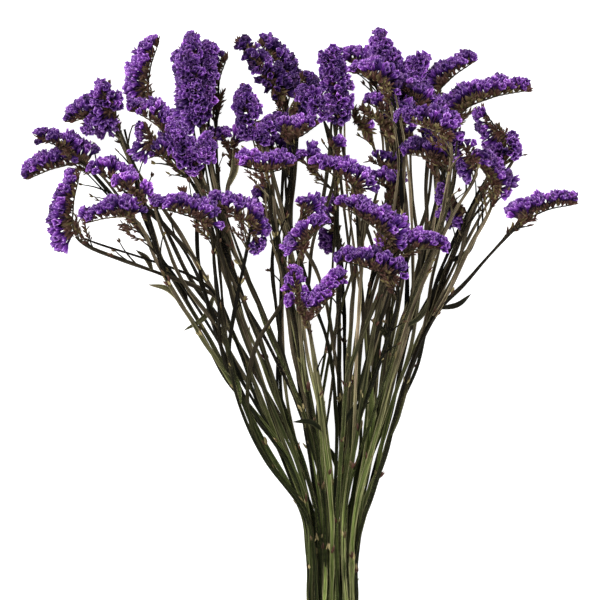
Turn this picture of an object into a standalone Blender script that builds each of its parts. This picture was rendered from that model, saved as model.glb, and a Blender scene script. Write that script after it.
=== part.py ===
"""Dried statice: a tied bunch of winged stems with one-sided purple flower heads, laid down on a surface.

X runs across the bunch and Y along it, from the cut ends to the flowers. Z is up from the surface.
The stems lie in three layers, low, middle and top, which fan out from the tie.
"""

import math
import random
from dataclasses import dataclass, field

import bmesh
import bpy
from mathutils import Vector

MM = 0.001

# The middle of the bunch, as the table of sprays below counts it, in millimetres
CENTRE_X = -27.8
CENTRE_Y = 268.1

# The three layers: height of the stems in the tie, and of the flower heads, in millimetres
LAYERS = {"low": (5.0, 12.6), "middle": (10.4, 60.0), "top": (15.8, 106.0)}
TIE_Y = 38.0
SLOT_PITCH = 6.1
CUT_END = 1.0
SLOT_START, SLOT_END = 30.0, 50.0

# Half the width, and the height, of a three-winged section, in millimetres
STEM = (2.5, 4.3)
BRANCH = (1.9, 2.9)
RACHIS = (1.35, 2.3)
SLIM_FROM = 0.7
LONGEST_STEP, SHARPEST_TURN = 48.0, 7.5
FORK_RUN = 12.0

# Bracts under each spike
BRACT_CELL = 8.0
BRACT_REACH, BRACT_LEAN = 2.4, 3.5
BRACTS_LEFT_OUT = 0.2

# The papery calyces: a slim core along the spike, and funnels in a chequer that flare out of it
CORE_GAP = 0.4
CORE_FOOT, CORE_TOP, CORE_HEIGHT = 1.9, 1.2, 3.0
CALYX_CELL = 4.7
CALYX_SPREAD = 52.0
CALYX_LENGTH, CALYX_CUP = 14.0, 3.0
CALYX_ALONG, CALYX_ACROSS = 4.3, 5.6
CALYX_LEAN = 2.0
CALYX_ROOM = (2.4, 6.6)
CALYX_ROOM_BESIDE = (1.4, 4.68)
CELLS_BESIDE = 2
CORE_ROOM = 2.6
SHOOT_ROOM = 3.0
SHOOT_STEP = 4.0
OWN_SHOOT = 9.0
NEAR_HEAD = 100.0
FLOOR_ROOM = 3.6
SPIKE_START, SPIKE_END = 6.3, 5.0
SPIKE_ARCH = 0.08

# Leaves: half their width, and their thickness
LEAF = (2.4, 0.8)
FORK_BRACT = (1.3, 1.5)
FORK_BRACT_LENGTH = 15.0

# The tie: turns of twine round the stems
TWINE, TIE_TURNS = 1.8, 3
TIE_BORE = 3.2
TIE_TURN = 30.0
TIE_FLAT = 0.45

STEM_GREEN = (0.072, 0.105, 0.034, 1.0)
CALYX_PURPLE = (0.16, 0.055, 0.42, 1.0)
TWINE_TAN = (0.45, 0.33, 0.19, 1.0)


@dataclass
class Head:
    """A flower head and the shoot that carries it. Lengths are in millimetres, angles in degrees."""

    name: str
    foot: tuple  # where the shoot meets the head
    tips: tuple  # one end, or the two ends of a forked or arched head
    facing: float  # where the flowers look, anticlockwise from +X
    lift: float  # how far they look up from the surface
    fork: tuple | None = None  # the shoot that it leaves, and how far along Y
    way: tuple = ()  # points that the shoot passes, with a height over its even climb if there is one
    slot: float | None = None  # place in the tie, for a shoot that reaches it
    rise: float = 0.0  # height over the layer's own
    tip_rise: float = 0.0


@dataclass
class Leaf:
    """A lance-shaped leaf: the shoot it grows on, how far along Y, and its tip relative to its root."""

    on: str
    y: float
    tip: tuple
    bend: float = 0.12


@dataclass
class Spray:
    """The shoots of one root, in one layer, the leader first."""

    layer: str
    heads: list
    leaves: list = field(default_factory=list)


SPRAYS = {
    "low_1": Spray("low", [
        Head("a", (-208, 421), ((-258, 410),), 105, 20, slot=-3, rise=-1.8,
             way=((-24, 122), (-54, 178), (-104, 270), (-160, 362))),
        Head("b", (-220, 430), ((-249, 443),), 120, 45, rise=17, fork=("a", 350)),
        Head("c", (-185, 453), ((-190, 489),), 165, 35, fork=("a", 325), way=((-165, 405),)),
    ], [Leaf("a", 300, (-22, 30, 4))]),
    "low_2": Spray("low", [
        Head("a", (-101, 472), ((-92, 513),), 10, 20, slot=-2, rise=-1.8,
             way=((-15, 122), (-40, 178), (-78, 300), (-98, 420))),
        Head("b", (-79, 431), ((-100, 446),), 130, 35, fork=("a", 330), way=((-88, 400),)),
        Head("c", (-50, 371), ((-55, 398),), 165, 45, fork=("d", 250)),
        Head("d", (-43, 477), ((-77, 524),), 40, -5, slot=-1, fork=("a", CUT_END), rise=4,
             way=((-8, 122), (-22, 200), (-34, 330), (-34, 430))),
        Head("e", (-35, 465), ((-24, 497),), 10, 20, rise=10, fork=("d", 400)),
    ], [Leaf("d", 190, (16, 26, 5))]),
    "low_3": Spray("low", [
        Head("a", (65, 477), ((39, 532), (76, 511)), 100, 75, slot=0.5, rise=13,
             way=((4, 122), (14, 200), (38, 340), (56, 430))),
        Head("b", (37, 494), ((12, 512),), 110, 25, fork=("a", 385), rise=-1),
        Head("c", (8, 351), ((4, 390),), 150, 40, fork=("a", 170)),
        Head("d", (57, 395), ((36, 407),), 110, 35, fork=("a", 300), rise=26),
    ], [Leaf("a", 150, (-20, 34, 4))]),
    "low_4": Spray("low", [
        Head("a", (108, 463), ((167, 485),), 105, 20, slot=2, rise=-2.6,
             way=((16, 122), (38, 190), (68, 300), (94, 400))),
        Head("b", (153, 440), ((130, 467),), 170, 30, fork=("d", 385)),
        Head("c", (86, 474), ((121, 509),), 135, 20, fork=("a", 375), rise=-2.4),
        Head("d", (149, 421), ((163, 445),), 35, 25, slot=3, fork=("a", CUT_END),
             way=((24, 118), (43, 166), (75, 264), (110, 360))),
        Head("e", (115, 378), ((97, 402),), 165, 35, fork=("d", 285), rise=13),
    ], [Leaf("d", 330, (24, 20, 6))]),
    "middle_1": Spray("middle", [
        Head("a", (-188, 461), ((-221, 457),), 100, 25, slot=-2.5,
             way=((-20, 120), (-48, 190), (-86, 283), (-128, 360), (-167, 417))),
        Head("b", (-174, 400), ((-203, 416),), 110, 40, fork=("a", 325)),
        Head("c", (-217, 359), ((-215, 410),), 180, 15, fork=("a", 292), way=((-112, 315), (-156, 331))),
        Head("d", (-155, 477), ((-147, 525),), 183, 15, slot=-1.5, fork=("a", CUT_END),
             way=((-12, 122), (-36, 200), (-76, 310), (-118, 414), (-139, 451))),
        Head("e", (-140, 447), ((-169, 467),), 105, 25, rise=8, fork=("d", 370)),
    ], [Leaf("a", 306, (-26, -31, 3), -0.15), Leaf("c", 329, (-14, 18, 5))]),
    "middle_2": Spray("middle", [
        Head("a", (-113, 420), ((-137, 451), (-102, 442)), 100, 75, slot=-0.5, rise=18,
             way=((-4, 125), (-14, 180), (-56, 290), (-96, 375))),
        Head("b", (-114, 466), ((-133, 520), (-96, 524)), 100, 78, rise=-12, fork=("a", 345)),
        Head("c", (-110, 457), ((-116, 535),), 175, 60, rise=12, fork=("a", 330)),
    ]),
    "middle_3": Spray("middle", [
        Head("a", (-62, 443), ((-76, 484), (-48, 455)), 100, 68, slot=0.5,
             way=((3, 122), (-5, 200), (-30, 330), (-54, 410))),
        Head("b", (-30, 444), ((-47, 451), (-13, 454)), 90, 25, fork=("a", 350)),
        Head("c", (4, 463), ((-1, 516), (-26, 480)), 80, 75, slot=1.5, fork=("a", CUT_END),
             way=((9, 122), (8, 220), (5, 380))),
    ]),
    "middle_4": Spray("middle", [
        Head("a", (98, 419), ((65, 430),), 105, 30, slot=2.5,
             way=((17, 118), (38, 191), (58, 280), (90, 361))),
        Head("b", (50, 482), ((20, 499),), 100, 35, rise=8, fork=("a", 285), way=((60, 400),)),
        Head("c", (60, 452), ((31, 474),), 55, 40, fork=("b", 370), rise=-12),
        Head("d", (86, 459), ((57, 487),), 45, 35, rise=-4, fork=("a", 345), way=((105, 418),)),
    ], [Leaf("a", 255, (-20, 32, 8))]),
    "middle_5": Spray("middle", [
        Head("a", (161, 370), ((206, 387),), 100, 15, slot=3.5,
             way=((23, 100), (44, 166), (74, 264), (93, 298), (111, 317))),
        Head("b", (139, 396), ((122, 425),), 35, 30, fork=("a", 290), way=((118, 350),)),
    ], [Leaf("a", 296, (26, 12, 6))]),
    "top_1": Spray("top", [
        Head("a", (-167, 374), ((-207, 371),), 105, 25, slot=-3,
             way=((-20, 122), (-36, 170, -6), (-77, 225, -6), (-127, 302), (-146, 335))),
        Head("b", (-158, 386), ((-178, 406),), 110, 45, fork=("a", 315), rise=6),
        Head("c", (-105, 368), ((-150, 384),), 100, 35, slot=-2, fork=("a", CUT_END),
             way=((-21, 126), (-48, 160), (-80, 232), (-96, 310))),
        Head("d", (-67, 368), ((-101, 387), (-66, 348)), 50, 45, fork=("c", 240), rise=-6),
    ], [Leaf("a", 250, (18, -34, 4), -0.15), Leaf("a", 302, (-28, 16, 3), 0.15)]),
    "top_2": Spray("top", [
        Head("a", (-54, 414), ((-77, 420), (-33, 419)), 90, 35, slot=-1,
             way=((-6, 122), (-16, 200), (-36, 310), (-50, 375))),
        Head("b", (-26, 346), ((-5, 371),), 130, 45, fork=("a", 225)),
        Head("c", (-20, 289), ((-33, 330), (10, 324)), 85, 68, slot=0, fork=("a", CUT_END),
             way=((0, 125), (-7, 200))),
        Head("d", (25, 396), ((-14, 419),), 100, 35, slot=1, fork=("c", 12),
             way=((6, 122), (11, 200), (20, 320))),
        Head("e", (49, 353), ((8, 385),), 60, 35, fork=("d", 225), rise=14),
        Head("f", (55, 320), ((8, 339),), 80, 45, fork=("g", 190), rise=16),
        Head("g", (54, 343), ((93, 349),), 95, 30, slot=2, fork=("d", 20), rise=3,
             way=((12, 122), (24, 200), (38, 290))),
    ], [Leaf("c", 190, (-26, 8, 3), 0.15), Leaf("d", 196, (22, 18, 5), -0.15)]),
    "top_3": Spray("top", [
        Head("a", (123, 416), ((107, 446),), 135, 40, slot=3, rise=-8,
             way=((20, 120), (38, 190), (66, 290), (100, 372))),
        Head("b", (99, 441), ((57, 459),), 105, 40, fork=("a", 320), rise=10),
    ], [Leaf("a", 280, (20, 24, 6))]),
}


def smooth(points, steps=12):
    """Points along a smooth curve through the given ones (a centripetal Catmull-Rom curve)."""
    padded = [points[0] * 2 - points[1]] + points + [points[-1] * 2 - points[-2]]
    curve = []
    for p0, p1, p2, p3 in zip(padded, padded[1:], padded[2:], padded[3:]):
        t1 = (p1 - p0).length ** 0.5
        t2 = t1 + (p2 - p1).length ** 0.5
        t3 = t2 + (p3 - p2).length ** 0.5
        for step in range(steps):
            t = t1 + (t2 - t1) * step / steps
            a1 = p0.lerp(p1, t / t1)
            a2 = p1.lerp(p2, (t - t1) / (t2 - t1))
            a3 = p2.lerp(p3, (t - t2) / (t3 - t2))
            b1 = a1.lerp(a2, t / t2)
            b2 = a2.lerp(a3, (t - t1) / (t3 - t1))
            curve.append(b1.lerp(b2, (t - t1) / (t2 - t1)))
    return curve + [points[-1].copy()]


class Route:
    """A smooth curve through a few points, read by the distance along it."""

    def __init__(self, points):
        self.points = smooth(points)
        self.marks = [0.0]
        for start, end in zip(self.points, self.points[1:]):
            self.marks.append(self.marks[-1] + (end - start).length)
        self.length = self.marks[-1]

    def at(self, distance):
        """The point at a distance along the curve."""
        distance = min(max(distance, 0.0), self.length)
        index = 1
        while index < len(self.marks) - 1 and self.marks[index] < distance:
            index += 1
        share = (distance - self.marks[index - 1]) / (self.marks[index] - self.marks[index - 1])
        return self.points[index - 1].lerp(self.points[index], share)

    def along(self, distance, reach=2.0):
        """The direction of the curve at a distance along it."""
        return (self.at(distance + reach) - self.at(distance - reach)).normalized()

    def where_y(self, y):
        """The distance at which the curve first reaches a place along the bunch."""
        for mark, point in zip(self.marks, self.points):
            if point.y >= y:
                return mark
        return self.length

    def nearest(self, place):
        """The distance at which the curve comes nearest to a point."""
        return min(zip(self.marks, self.points), key=lambda pair: (pair[1] - place).length)[0]

    def stations(self, end):
        """Distances from the start to the given end, closer together where the curve turns."""
        found = [0.0]
        for mark in self.marks[1:]:
            if mark >= end:
                break
            turn = math.degrees(self.along(found[-1]).angle(self.along(mark)))
            if mark - found[-1] > LONGEST_STEP or turn > SHARPEST_TURN:
                found.append(mark)
        if end - found[-1] < FORK_RUN / 4 and len(found) > 1:
            found.pop()
        return found + [end]


def spaced(start, end, step, through=None):
    """Distances from start to end in equal steps of about the given length, with a step at one between."""
    if through is not None:
        return spaced(start, through, step) + spaced(through, end, step)[1:]
    count = max(1, round((end - start) / step))
    return [start + (end - start) * index / count for index in range(count + 1)]


def look(head):
    """The direction that a head's flowers face."""
    turn, lift = math.radians(head.facing), math.radians(head.lift)
    return Vector((math.cos(turn) * math.cos(lift), math.sin(turn) * math.cos(lift), math.sin(lift)))


def square_to(along, facing):
    """The direction nearest to facing that is square to along."""
    return (facing - along * facing.dot(along)).normalized()


def foot_of(spray, head):
    """The point where a head's shoot ends and its spike begins."""
    return Vector((*head.foot, LAYERS[spray.layer][1] + head.rise))


def spike_points(spray, head):
    """The points that a head's spike runs through."""
    foot = foot_of(spray, head)
    tips = [Vector((*tip, foot.z + head.tip_rise)) for tip in head.tips]
    if len(tips) == 2:
        return [tips[0], foot, tips[1]]
    arch = look(head) * SPIKE_ARCH * (tips[0] - foot).length
    return [foot, foot.lerp(tips[0], 0.5) + arch, tips[0]]


def shoot_start(spray, head, routes):
    """The first points of a shoot: its cut end and its slot in the tie, or its fork."""
    if head.slot is None:
        parent = routes[head.fork[0]][0]
        mark = parent.where_y(head.fork[1])
        return [parent.at(mark), parent.at(mark) + parent.along(mark) * FORK_RUN]
    x = head.slot * SLOT_PITCH
    z = LAYERS[spray.layer][0]
    root = Vector((x, CUT_END, z))
    if head.fork:
        parent = routes[head.fork[0]][0]
        root = parent.at(parent.where_y(head.fork[1]))
    return [root, Vector((x, SLOT_START, z)), Vector((x, SLOT_END, z))]


def shoot_route(spray, head, routes):
    """A shoot's curve and the distance to its head's foot. A single spike carries the curve on to its tip."""
    start = shoot_start(spray, head, routes)
    foot = foot_of(spray, head)
    climb = (foot.z - start[-1].z) / (foot.y - start[-1].y)
    way = []
    for x, y, *lift in head.way:
        way.append(Vector((x, y, start[-1].z + climb * (y - start[-1].y) + sum(lift))))
    if len(head.tips) == 2:
        under = foot - look(head) * (CORE_GAP / 2 + RACHIS[1] / 2)
        route = Route(start + way + [under])
        return route, route.length
    route = Route(start + way + spike_points(spray, head))
    return route, route.nearest(foot)


def section(centre, normal, along, corners):
    """Corner points of a section: each corner is a step across and a step along the normal."""
    across = normal.cross(along)
    return [(centre + across * a + normal * n) * MM for a, n in corners]


def three_winged(width, height):
    """A section with a flat side up and an edge down."""
    return [(width, height / 3), (-width, height / 3), (0.0, -height * 2 / 3)]


def flat(width, thickness):
    """A leaf's section."""
    half = thickness / 2
    return [(width, -half), (width, half), (-width, half), (-width, -half)]


def sweep(mesh, sections):
    """A closed tube through sections with like corners. It returns the side faces, ring by ring."""
    root = [mesh.verts.new(point) for point in sections[0]]
    cap = mesh.faces.new(root)
    rings = []
    for points in sections[1:]:
        cap = bmesh.ops.extrude_discrete_faces(mesh, faces=[cap])["faces"][0]
        for vert, point in zip(cap.verts, points):
            vert.co = point
        rings.append([loop.link_loop_radial_next.face for loop in cap.loops])
    mesh.faces.new(root[::-1])
    return rings


def stem_sections(route, foot, facing, size, single):
    """The sections of a shoot from its root to its head's foot, turned as little as can be."""
    distances = route.stations(foot)
    normal = facing
    found = []
    for distance in reversed(distances):
        along = route.along(distance)
        normal = square_to(along, normal)
        slim = max(0.0, (distance / foot - SLIM_FROM) / (1 - SLIM_FROM))
        width = size[0] + (RACHIS[0] - size[0]) * slim
        height = size[1] + (RACHIS[1] - size[1]) * slim
        drop = (CORE_GAP / 2 + height / 3) * max(0.0, 1 - (foot - distance) / FORK_RUN) * single
        found.append(section(route.at(distance) - normal * drop, normal, along, three_winged(width, height)))
    return found[::-1]


def rachis_sections(route, distances, facing):
    """The sections of a spike's rachis, slimmer to the tip, with its flat side under the flowers."""
    found = []
    for distance in distances:
        along = route.along(distance)
        normal = square_to(along, facing)
        share = (distance - distances[0]) / (distances[-1] - distances[0])
        slim = 0.3 if distance == distances[-1] else 1 - 0.35 * share
        width, height = RACHIS[0] * slim, RACHIS[1] * slim
        centre = route.at(distance) - normal * (CORE_GAP / 2 + height / 3)
        found.append(section(centre, normal, along, three_winged(width, height)))
    return found


def raise_bracts(mesh, rings, route, distances, chance):
    """Pointed bracts out of the two lower sides of a rachis."""
    for ring, start, end in zip(rings, distances, distances[1:]):
        along = route.along((start + end) / 2)
        for side in ring[1:]:
            if chance.random() < BRACTS_LEFT_OUT:
                continue
            peak = bmesh.ops.poke(mesh, faces=[side], offset=BRACT_REACH * MM)["verts"][0]
            peak.co += along * BRACT_LEAN * chance.uniform(0.4, 1.0) * MM


def shoot_meshes(spray, head, route, foot):
    """One shoot as closed tubes: its stem, and its rachis with the bracts."""
    facing = look(head)
    chance = random.Random(f"bracts {head.foot}")
    stem = bmesh.new()
    sections = stem_sections(route, foot, facing, BRANCH if head.slot is None else STEM, len(head.tips) == 1)
    if len(head.tips) == 2:
        sweep(stem, sections)
        spike = Route(spike_points(spray, head))
        distances = spaced(0.0, spike.length, CALYX_CELL, spike.nearest(foot_of(spray, head)))
        rachis = bmesh.new()
        rings = sweep(rachis, rachis_sections(spike, distances, facing))
        raise_bracts(rachis, rings[::2], spike, distances[::2], chance)
        return [stem, rachis]
    distances = spaced(foot, route.length, BRACT_CELL)
    rings = sweep(stem, sections[:-1] + rachis_sections(route, distances, facing))
    raise_bracts(stem, rings[len(sections) - 1:], route, distances, chance)
    return [stem]


def fork_bract_mesh(route, chance):
    """The small pointed bract under a fork."""
    start, along = route.at(FORK_RUN * 0.4), route.along(FORK_RUN)
    aside = square_to(along, Vector((chance.uniform(-1, 1), chance.uniform(-1, 1), 0.4)))
    reach = along * FORK_BRACT_LENGTH + aside * FORK_BRACT_LENGTH * 0.45
    mesh = bmesh.new()
    sections = []
    for share, scale in ((0.0, 0.7), (0.45, 1.0), (1.0, 0.25)):
        corners = three_winged(FORK_BRACT[0] * scale, FORK_BRACT[1] * scale)
        sections.append(section(start + reach * share, aside, reach.normalized(), corners))
    sweep(mesh, sections)
    return mesh


def leaf_blade(leaf, route):
    """The curve that a leaf's middle follows."""
    root = route.at(route.where_y(leaf.y))
    tip = root + Vector(leaf.tip)
    side = (tip - root).cross(Vector((0, 0, 1)))
    return Route([root, root.lerp(tip, 0.5) + side * leaf.bend, tip])


def leaf_mesh(blade):
    """A lance-shaped leaf that bends as it goes."""
    mesh = bmesh.new()
    sections = []
    for share, scale in ((0.0, 0.4), (0.3, 0.9), (0.6, 1.0), (0.85, 0.6), (1.0, 0.15)):
        along = blade.along(blade.length * share)
        normal = square_to(along, Vector((0.3, 0.2, 1.0)))
        sections.append(section(blade.at(blade.length * share), normal, along, flat(LEAF[0] * scale, LEAF[1])))
    sweep(mesh, sections)
    return mesh


def placed(mesh, name, collection):
    """An object made from a bmesh, with the bunch's middle over the origin."""
    bmesh.ops.translate(mesh, verts=mesh.verts, vec=Vector((-CENTRE_X, -CENTRE_Y, 0)) * MM)
    data = bpy.data.meshes.new(name)
    mesh.to_mesh(data)
    mesh.free()
    thing = bpy.data.objects.new(name, data)
    collection.objects.link(thing)
    return thing


def joined(base, others, collection):
    """One closed body made of several that overlap."""
    roots = bpy.data.collections.new("roots")
    collection.children.link(roots)
    for other in others:
        collection.objects.unlink(other)
        roots.objects.link(other)
    union = base.modifiers.new("roots", "BOOLEAN")
    union.operation = "UNION"
    union.operand_type = "COLLECTION"
    union.collection = roots
    union.solver = "MANIFOLD"
    bpy.context.view_layer.update()
    graph = bpy.context.evaluated_depsgraph_get()
    whole = bpy.data.meshes.new_from_object(base.evaluated_get(graph))
    base.modifiers.clear()
    base.data = whole
    for other in others:
        bpy.data.objects.remove(other)
    bpy.data.collections.remove(roots)
    whole.name = base.name


def stem_of(name, spray, routes, collection, material):
    """The green and brown part of a spray: stems, branches, rachises, bracts and leaves in one body."""
    chance = random.Random(f"forks {name}")
    meshes = []
    for head in spray.heads:
        route, foot = routes[head.name]
        meshes += shoot_meshes(spray, head, route, foot)
        if head.slot is None:
            meshes.append(fork_bract_mesh(route, chance))
    for leaf in spray.leaves:
        meshes.append(leaf_mesh(leaf_blade(leaf, routes[leaf.on][0])))
    things = [placed(mesh, f"stem_{name}" if mesh is meshes[0] else "shoot", collection) for mesh in meshes]
    joined(things[0], things[1:], collection)
    things[0].data.materials.clear()
    things[0].data.materials.append(material)


def calyx_axes(face, row, normal, along):
    """The middle of a core's face, and the directions in which a calyx stands out of it and spreads."""
    turn = math.radians(CALYX_SPREAD * (row - 1))
    outward = normal * math.cos(turn) - normal.cross(along) * math.sin(turn)
    return face.calc_center_median(), outward, outward.cross(along)


def raise_calyx(mesh, face, axes, tip, along, scale, chance):
    """A papery funnel out of one face of the core, with a sunk, ruffled mouth."""
    middle, outward, across = axes
    top = bmesh.ops.extrude_discrete_faces(mesh, faces=[face])["faces"][0]
    for vert in top.verts:
        step = vert.co - middle
        long = math.copysign(CALYX_ALONG, step.dot(along)) * chance.uniform(0.9, 1.0)
        wide = math.copysign(CALYX_ACROSS, step.dot(across)) * chance.uniform(0.85, 1.0)
        ruffle = outward * chance.uniform(-1.1, 1.1)
        vert.co = tip + (along * long + across * wide + ruffle) * scale * MM
    bmesh.ops.poke(mesh, faces=[top], offset=-CALYX_CUP * scale * MM)


def core_sections(route, distances, facing):
    """The sections of the core that a spike's calyces grow from."""
    foot, top = CORE_GAP / 2, CORE_GAP / 2 + CORE_HEIGHT
    corners = [(CORE_FOOT, foot), (CORE_TOP, top), (-CORE_TOP, top), (-CORE_FOOT, foot)]
    found = []
    for distance in distances:
        along = route.along(distance)
        found.append(section(route.at(distance), square_to(along, facing), along, corners))
    return found


def stands_clear(foot, tip, rooms, taken):
    """Whether a calyx, with the room at its foot and at its rim, keeps clear of points with rooms of their own."""
    axis = tip - foot
    for point, room in taken:
        share = min(max((point - foot).dot(axis) / axis.length_squared, 0.0), 1.0)
        if (foot + axis * share - point).length < rooms[0] + (rooms[1] - rooms[0]) * share + room:
            return False
    return True


def room_of_shoot(route, start, end):
    """What a shoot takes up between two distances: points on it, each with the room round it."""
    return [(route.at(mark), SHOOT_ROOM) for mark in spaced(start, end, SHOOT_STEP)]


def room_of_calyx(foot, tip, rooms=CALYX_ROOM, shares=(0.0, 0.35, 0.7, 1.0)):
    """What a calyx takes up: points on its axis, each with the room round it."""
    return [(foot.lerp(tip, share), rooms[0] + (rooms[1] - rooms[0]) * share) for share in shares]


def room_in_head(grown, route, distances, cell):
    """What a head's other calyces and core take up round one cell: what grows beside it, and what stands off."""
    marks = distances[:max(0, cell - CELLS_BESIDE)] + distances[cell + 1 + CELLS_BESIDE:]
    beside, apart = [], [(route.at(mark), CORE_ROOM) for mark in marks]
    for other, foot, tip in grown:
        if abs(other - cell) <= CELLS_BESIDE:
            beside += room_of_calyx(foot, tip, CALYX_ROOM_BESIDE, (0.4, 0.7, 1.0))
        else:
            apart += room_of_calyx(foot, tip)
    return beside, apart


def calyces_of(name, spray, head, route, foot, taken, collection, material):
    """The purple part of a head: its core and three rows of funnels in one body. It returns the room they take."""
    facing = look(head)
    if len(head.tips) == 2:
        route = Route(spike_points(spray, head))
        distances = spaced(0.0, route.length, CALYX_CELL, route.nearest(foot_of(spray, head)))[1:-1]
    else:
        distances = spaced(foot + SPIKE_START, route.length - SPIKE_END, CALYX_CELL)
    chance = random.Random(f"calyces {head.foot}")
    mesh = bmesh.new()
    rings = sweep(mesh, core_sections(route, distances, facing))
    grown = []
    for index, ring in enumerate(rings):
        along = route.along((distances[index] + distances[index + 1]) / 2)
        normal = square_to(along, facing)
        scale = 0.85 if index in (0, len(rings) - 1) else 1.0
        for row in (1,) if index % 2 else (0, 2):
            axes = calyx_axes(ring[row], row, normal, along)
            root = axes[0] / MM
            reach = CALYX_LENGTH * scale * chance.uniform(0.92, 1.08)
            tip = root + axes[1] * reach + along * CALYX_LEAN
            beside, apart = room_in_head(grown, route, distances, index)
            if tip.z < FLOOR_ROOM or not stands_clear(root, tip, CALYX_ROOM, taken + apart):
                continue
            if stands_clear(root, tip, CALYX_ROOM_BESIDE, beside):
                grown.append((index, root, tip))
                raise_calyx(mesh, ring[row], axes, tip * MM, along, scale, chance)
    thing = placed(mesh, f"calyces_{name}", collection)
    thing.data.materials.append(material)
    return [point for _, root, tip in grown for point in room_of_calyx(root, tip)]


def tie_corners():
    """The outermost stems in the tie, anticlockwise as seen along the stems from the flowers' end."""
    slots = {"low": [], "middle": [], "top": []}
    for spray in SPRAYS.values():
        slots[spray.layer] += [head.slot for head in spray.heads if head.slot is not None]
    corners = [(max(slots[layer]), layer) for layer in ("low", "middle", "top")]
    corners += [(min(slots[layer]), layer) for layer in ("top", "low")]
    return [Vector((slot * SLOT_PITCH, TIE_Y, LAYERS[layer][0])) for slot, layer in corners]


def tie_ring():
    """The way round the stems: places on it, each with the direction out of the ring."""
    corners = tie_corners()
    ring = []
    for before, corner, after in zip(corners[-1:] + corners, corners, corners[1:] + corners[:1]):
        first, last = (math.atan2(end.z - start.z, end.x - start.x) for start, end in ((before, corner), (corner, after)))
        turn = (last - first) % (2 * math.pi)
        steps = max(1, math.ceil(math.degrees(turn) / TIE_TURN))
        for step in range(steps + 1):
            angle = first + turn * step / steps - math.pi / 2
            ring.append((corner, Vector((math.cos(angle), 0, math.sin(angle)))))
    return ring


def twine_profile():
    """The section of the turns side by side: steps along the stems, and heights over the ring's bore."""
    half = TWINE * TIE_TURNS / 2
    profile = [(-half, 0.0), (half, 0.0)]
    for turn in range(TIE_TURNS):
        y = half - TWINE * (turn + 0.5)
        profile += [(y + TIE_FLAT, TWINE), (y - TIE_FLAT, TWINE)]
        if turn < TIE_TURNS - 1:
            profile.append((y - TWINE / 2, TWINE * 0.6))
    return profile


def tie_of(collection, material):
    """Turns of twine round the stems, side by side, as one closed band that lies flat on the surface."""
    mesh = bmesh.new()
    rows = []
    for centre, out in tie_ring():
        row = [centre + out * (TIE_BORE + height) + Vector((0, y, 0)) for y, height in twine_profile()]
        rows.append([mesh.verts.new(point * MM) for point in row])
    for row, following in zip(rows, rows[1:] + rows[:1]):
        for start, end, far_end, far_start in zip(row, row[1:] + row[:1], following[1:] + following[:1], following):
            mesh.faces.new((start, end, far_end, far_start))
    bmesh.ops.recalc_face_normals(mesh, faces=mesh.faces)
    thing = placed(mesh, "twine_tie", collection)
    thing.data.materials.append(material)


def rest_on_surface(collection):
    """Cuts away what would reach below the surface, so that the lowest heads lie on small flat spots."""
    for thing in collection.objects:
        mesh = bmesh.new()
        mesh.from_mesh(thing.data)
        if min(vert.co.z for vert in mesh.verts) < 0:
            everything = mesh.verts[:] + mesh.edges[:] + mesh.faces[:]
            cut = bmesh.ops.bisect_plane(
                mesh, geom=everything, dist=1e-6, plane_co=(0, 0, 0), plane_no=(0, 0, -1), clear_outer=True
            )
            rim = [item for item in cut["geom_cut"] if isinstance(item, bmesh.types.BMEdge)]
            bmesh.ops.holes_fill(mesh, edges=rim, sides=0)
            mesh.to_mesh(thing.data)
        mesh.free()


def material_of(name, colour, roughness):
    """A plain material in the real thing's colour."""
    material = bpy.data.materials.new(name)
    material.use_nodes = True
    shader = material.node_tree.nodes["Principled BSDF"]
    shader.inputs["Base Color"].default_value = colour
    shader.inputs["Roughness"].default_value = roughness
    shader.inputs["Metallic"].default_value = 0.0
    material.diffuse_color = colour
    return material


def spray_routes(spray):
    """Each head's route and the distance to its foot, with a shoot's parent worked out before it."""
    routes = {}
    waiting = list(spray.heads)
    while waiting:
        head = waiting.pop(0)
        if head.fork and head.fork[0] not in routes:
            waiting.append(head)
        else:
            routes[head.name] = shoot_route(spray, head, routes)
    return routes


def room_taken(routes_of, own):
    """What the shoots and leaves take up, apart from the spike of one head and the stretch just before it."""
    taken = []
    for name, spray in SPRAYS.items():
        routes = routes_of[name]
        for head in spray.heads:
            route, foot = routes[head.name]
            if (name, head.name) == own:
                taken += room_of_shoot(route, 0.0, foot - OWN_SHOOT)
                continue
            taken += room_of_shoot(route, 0.0, route.length)
            if len(head.tips) == 2:
                spike = Route(spike_points(spray, head))
                taken += room_of_shoot(spike, 0.0, spike.length)
        for leaf in spray.leaves:
            blade = leaf_blade(leaf, routes[leaf.on][0])
            taken += room_of_shoot(blade, 0.0, blade.length)
    return taken


def main():
    for thing in list(bpy.data.objects):
        bpy.data.objects.remove(thing)
    collection = bpy.data.collections.new("dried_statice")
    bpy.context.scene.collection.children.link(collection)
    green = material_of("stem_green", STEM_GREEN, 0.7)
    purple = material_of("calyx_purple", CALYX_PURPLE, 0.8)
    twine = material_of("twine_tan", TWINE_TAN, 0.9)
    routes_of = {name: spray_routes(spray) for name, spray in SPRAYS.items()}
    calyces = []
    for name, spray in SPRAYS.items():
        routes = routes_of[name]
        stem_of(name, spray, routes, collection, green)
        for head in spray.heads:
            route, foot = routes[head.name]
            near = [
                (point, room) for point, room in room_taken(routes_of, (name, head.name)) + calyces
                if (point - foot_of(spray, head)).length < NEAR_HEAD
            ]
            calyces += calyces_of(f"{name}{head.name}", spray, head, route, foot, near, collection, purple)
    tie_of(collection, twine)
    rest_on_surface(collection)


main()
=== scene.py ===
"""Dried statice: papery violet flower heads, bracts, winged stems and a twine tie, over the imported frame.

Shapes are worked out in the part's table, in millimetres: X across the bunch, Y along it from the cut ends.
"""

import bisect
import math
import random
from dataclasses import dataclass, field

import bmesh
import bpy
from bpy.props import FloatProperty, FloatVectorProperty, IntProperty, PointerProperty
from mathutils import Matrix, Vector


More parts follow.
